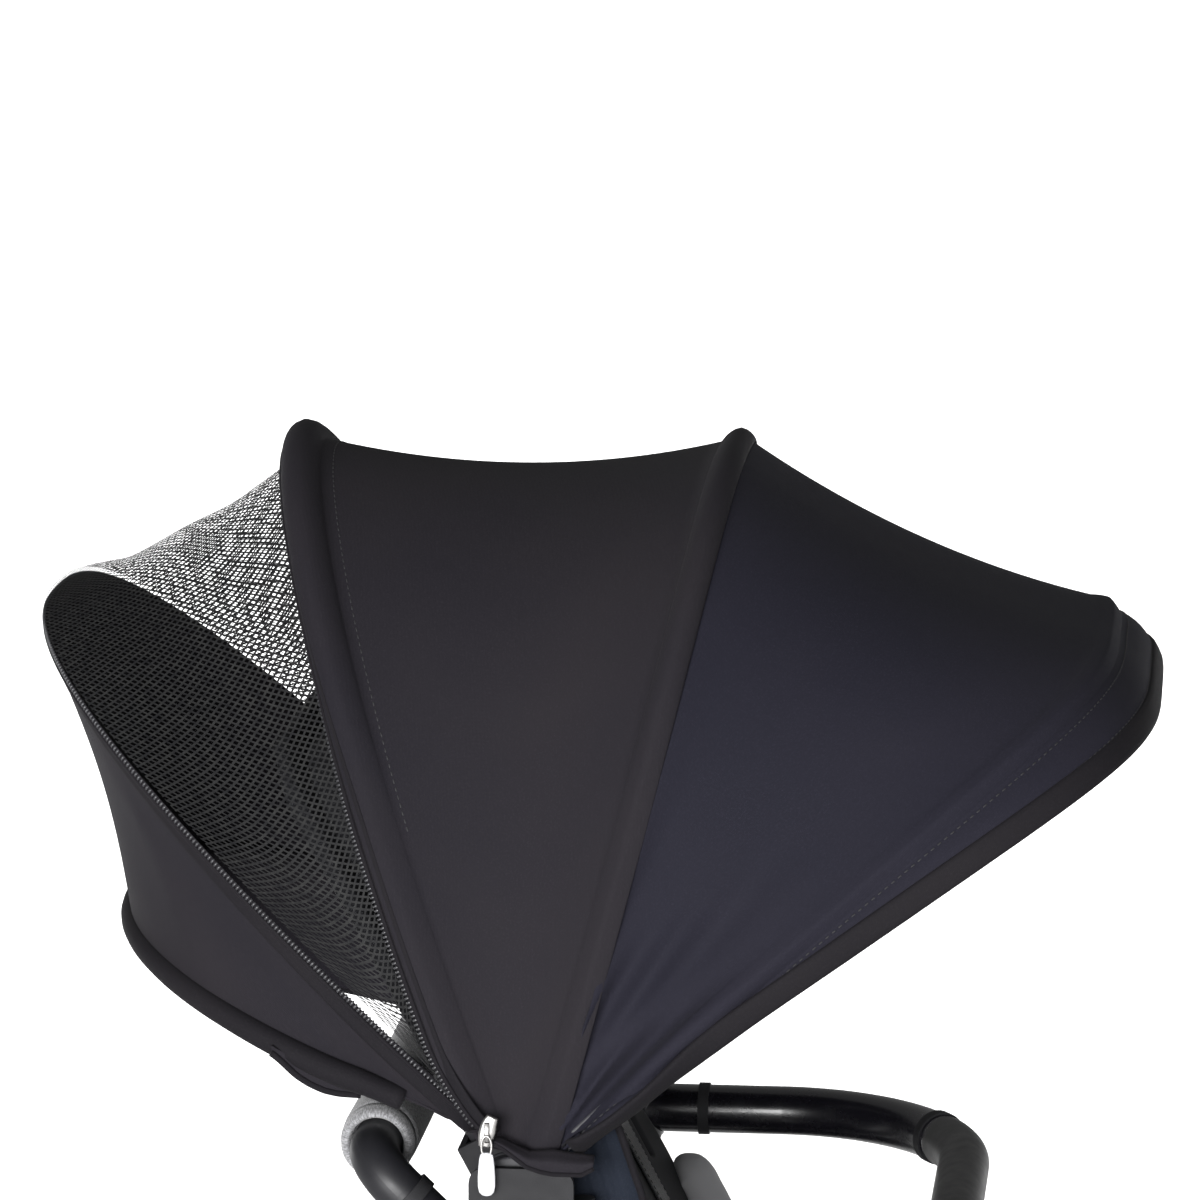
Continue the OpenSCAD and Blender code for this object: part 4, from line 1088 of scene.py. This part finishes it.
def grip():
    """The padded sleeve on the push handle, with folded hems at its ends."""
    low, high = box_of("handle_grip")
    centre, half = (low + high) / 2, high[1] - (low[1] + high[1]) / 2
    radius = (high[0] - low[0]) / 2
    # How far in from the sleeve's end, and how far below its surface, in mm
    folded = [(12, 5.6), (2, 5.2), (0, 4.0), (0.6, 2.2), (3, 0.9), (8, 0.1), (12, 0), (13.2, 0.7),
              (14.4, -0.1)]
    end = [(-half + inward * MM, radius - below * MM) for inward, below in folded]
    middle = [(x, radius + 0.25 * MM) for x in np.linspace(-half + 20 * MM, half - 20 * MM, 60)]
    profile = end + middle + [(-x, r) for x, r in end[::-1]]
    sleeve = lathe("grip_sleeve", centre, (0, 1, 0), profile, 72, GREY)
    points = mesh_points(sleeve)
    out = (points - centre) * [1, 0, 1]
    lumps = bumps(points * [1, 0.6, 1], 26 * MM, 9)
    body = np.linalg.norm(out, axis=1) > radius - 1.2 * MM
    move_points(sleeve, points + unit(out) * (0.45 * MM * lumps * body)[:, None])
    place(sleeve, "grey_melange", "handle", "handle_grip")
    seam_y = np.linspace(-half + 14 * MM, half - 14 * MM, 60)
    seam = centre + np.stack([0 * seam_y + (radius - 0.3 * MM) * 0.5, seam_y - centre[1],
                              0 * seam_y - (radius - 0.3 * MM) * 0.866], axis=1)
    down = np.broadcast_to(unit(np.array([0.5, 0, -0.866])), seam.shape)
    line = beads("grip_seam_stitches", seam, down, (3.0 * MM, 0.9 * MM, 0.9 * MM), 4.6 * MM, THREAD)
    place(line, "grey_melange", "handle")


def tyres():
    """Raised ribs across each tyre's tread."""
    for node, body in (("rear_tyre_left", "rear_wheel_left"), ("rear_tyre_right", "rear_wheel_right"),
                       ("front_tyre_left", "front_wheel_left"), ("front_tyre_right", "front_wheel_right")):
        low, high = box_of(node)
        centre, radius, wide = (low + high) / 2, (high[2] - low[2]) / 2, high[1] - low[1]
        turns = np.linspace(0, 2 * math.pi, 361)
        out = np.stack([np.cos(turns), 0 * turns, np.sin(turns)], axis=1)
        for side, lean in (("a", -0.20), ("b", 0.20)):
            path = centre + out * (radius - 1.1 * MM) + [0, lean * wide, 0]
            ribs = beads(f"{node}_tread_{side}", path[:-2], out[:-2],
                         (2.6 * MM, 0.30 * wide, 2.6 * MM), 6.2 * MM, RUBBER)
            place(ribs, "tyre_black", body)


# ---------------------------------------------------------------- Camera, light and floor


def camera():
    azimuth, pitch, distance = math.radians(5.7), math.radians(10.45), 3.373
    ahead = Vector((
        -math.sin(azimuth) * math.cos(pitch), math.cos(azimuth) * math.cos(pitch), -math.sin(pitch)
    ))
    right = Vector((math.cos(azimuth), math.sin(azimuth), 0))
    up = right.cross(ahead)
    to_right, to_top = 0.0229, 0.2553
    spot = Vector(PIVOT) - distance * ahead + to_right * right + to_top * up
    data = bpy.data.cameras.new("camera")
    data.lens = 192.5
    data.sensor_width = 36
    data.clip_end = 200
    eye = bpy.data.objects.new("camera", data)
    turned = Matrix((right, up, -ahead)).transposed().to_4x4()
    eye.matrix_world = Matrix.Translation(spot) @ turned
    bpy.context.scene.collection.objects.link(eye)
    bpy.context.scene.camera = eye


def soft_light(name, spot, target, size, watts, colour=(1, 1, 1)):
    data = bpy.data.lights.new(name, "AREA")
    data.shape = "RECTANGLE"
    data.size, data.size_y = size
    data.energy = watts
    data.color = colour
    lamp = bpy.data.objects.new(name, data)
    lamp.location = spot
    lamp.rotation_euler = (Vector(target) - Vector(spot)).to_track_quat("-Z", "Y").to_euler()
    bpy.context.scene.collection.objects.link(lamp)


FLOOR_REACH = 40.0


def studio():
    world = bpy.data.worlds.new("studio")
    world.use_nodes = True
    world.node_tree.nodes["Background"].inputs["Color"].default_value = (1, 1, 1, 1)
    world.node_tree.nodes["Background"].inputs["Strength"].default_value = 0.27
    bpy.context.scene.world = world
    bpy.context.scene.view_settings.view_transform = "Standard"
    soft_light("key", (-1.1, -4.4, 1.15), (0, 0, 0.8), (3.0, 1.8), 430)
    soft_light("fill", (3.2, -2.6, 1.3), (0, 0, 0.8), (2, 2), 40)
    soft_light("background_wash", (0, 7.5, 4.5), (0, 10.2, 0), (16, 13), 1700)

    floor = Finish("floor", {"Specular IOR Level": 0.1})
    floor.tint((0.93, 0.93, 0.93), (0.96, 0.96, 0.96), floor.grain(1.5, 2))
    floor.polish(0.85, 0.95, floor.grain(0.4, 2))
    steps = np.linspace(-FLOOR_REACH, FLOOR_REACH, 9)
    points = [(x, y, 0.0) for x in steps for y in steps]
    ground = make_piece("floor", points, grid_faces(9, 9), floor.material)


camera()
studio()
dress_frame()
middle_grid, brim_grid = canopy_cloths()
trims(middle_grid, brim_grid)
zip_edge, piping_edge, downwards = zips_and_vent(middle_grid)
rear_panel(zip_edge, piping_edge, downwards)
inner_bows()
canopy_hems()
side_flaps()
slider_and_tag()
side_wings()
seat_back()
seat()
basket()
grip()
tyres()
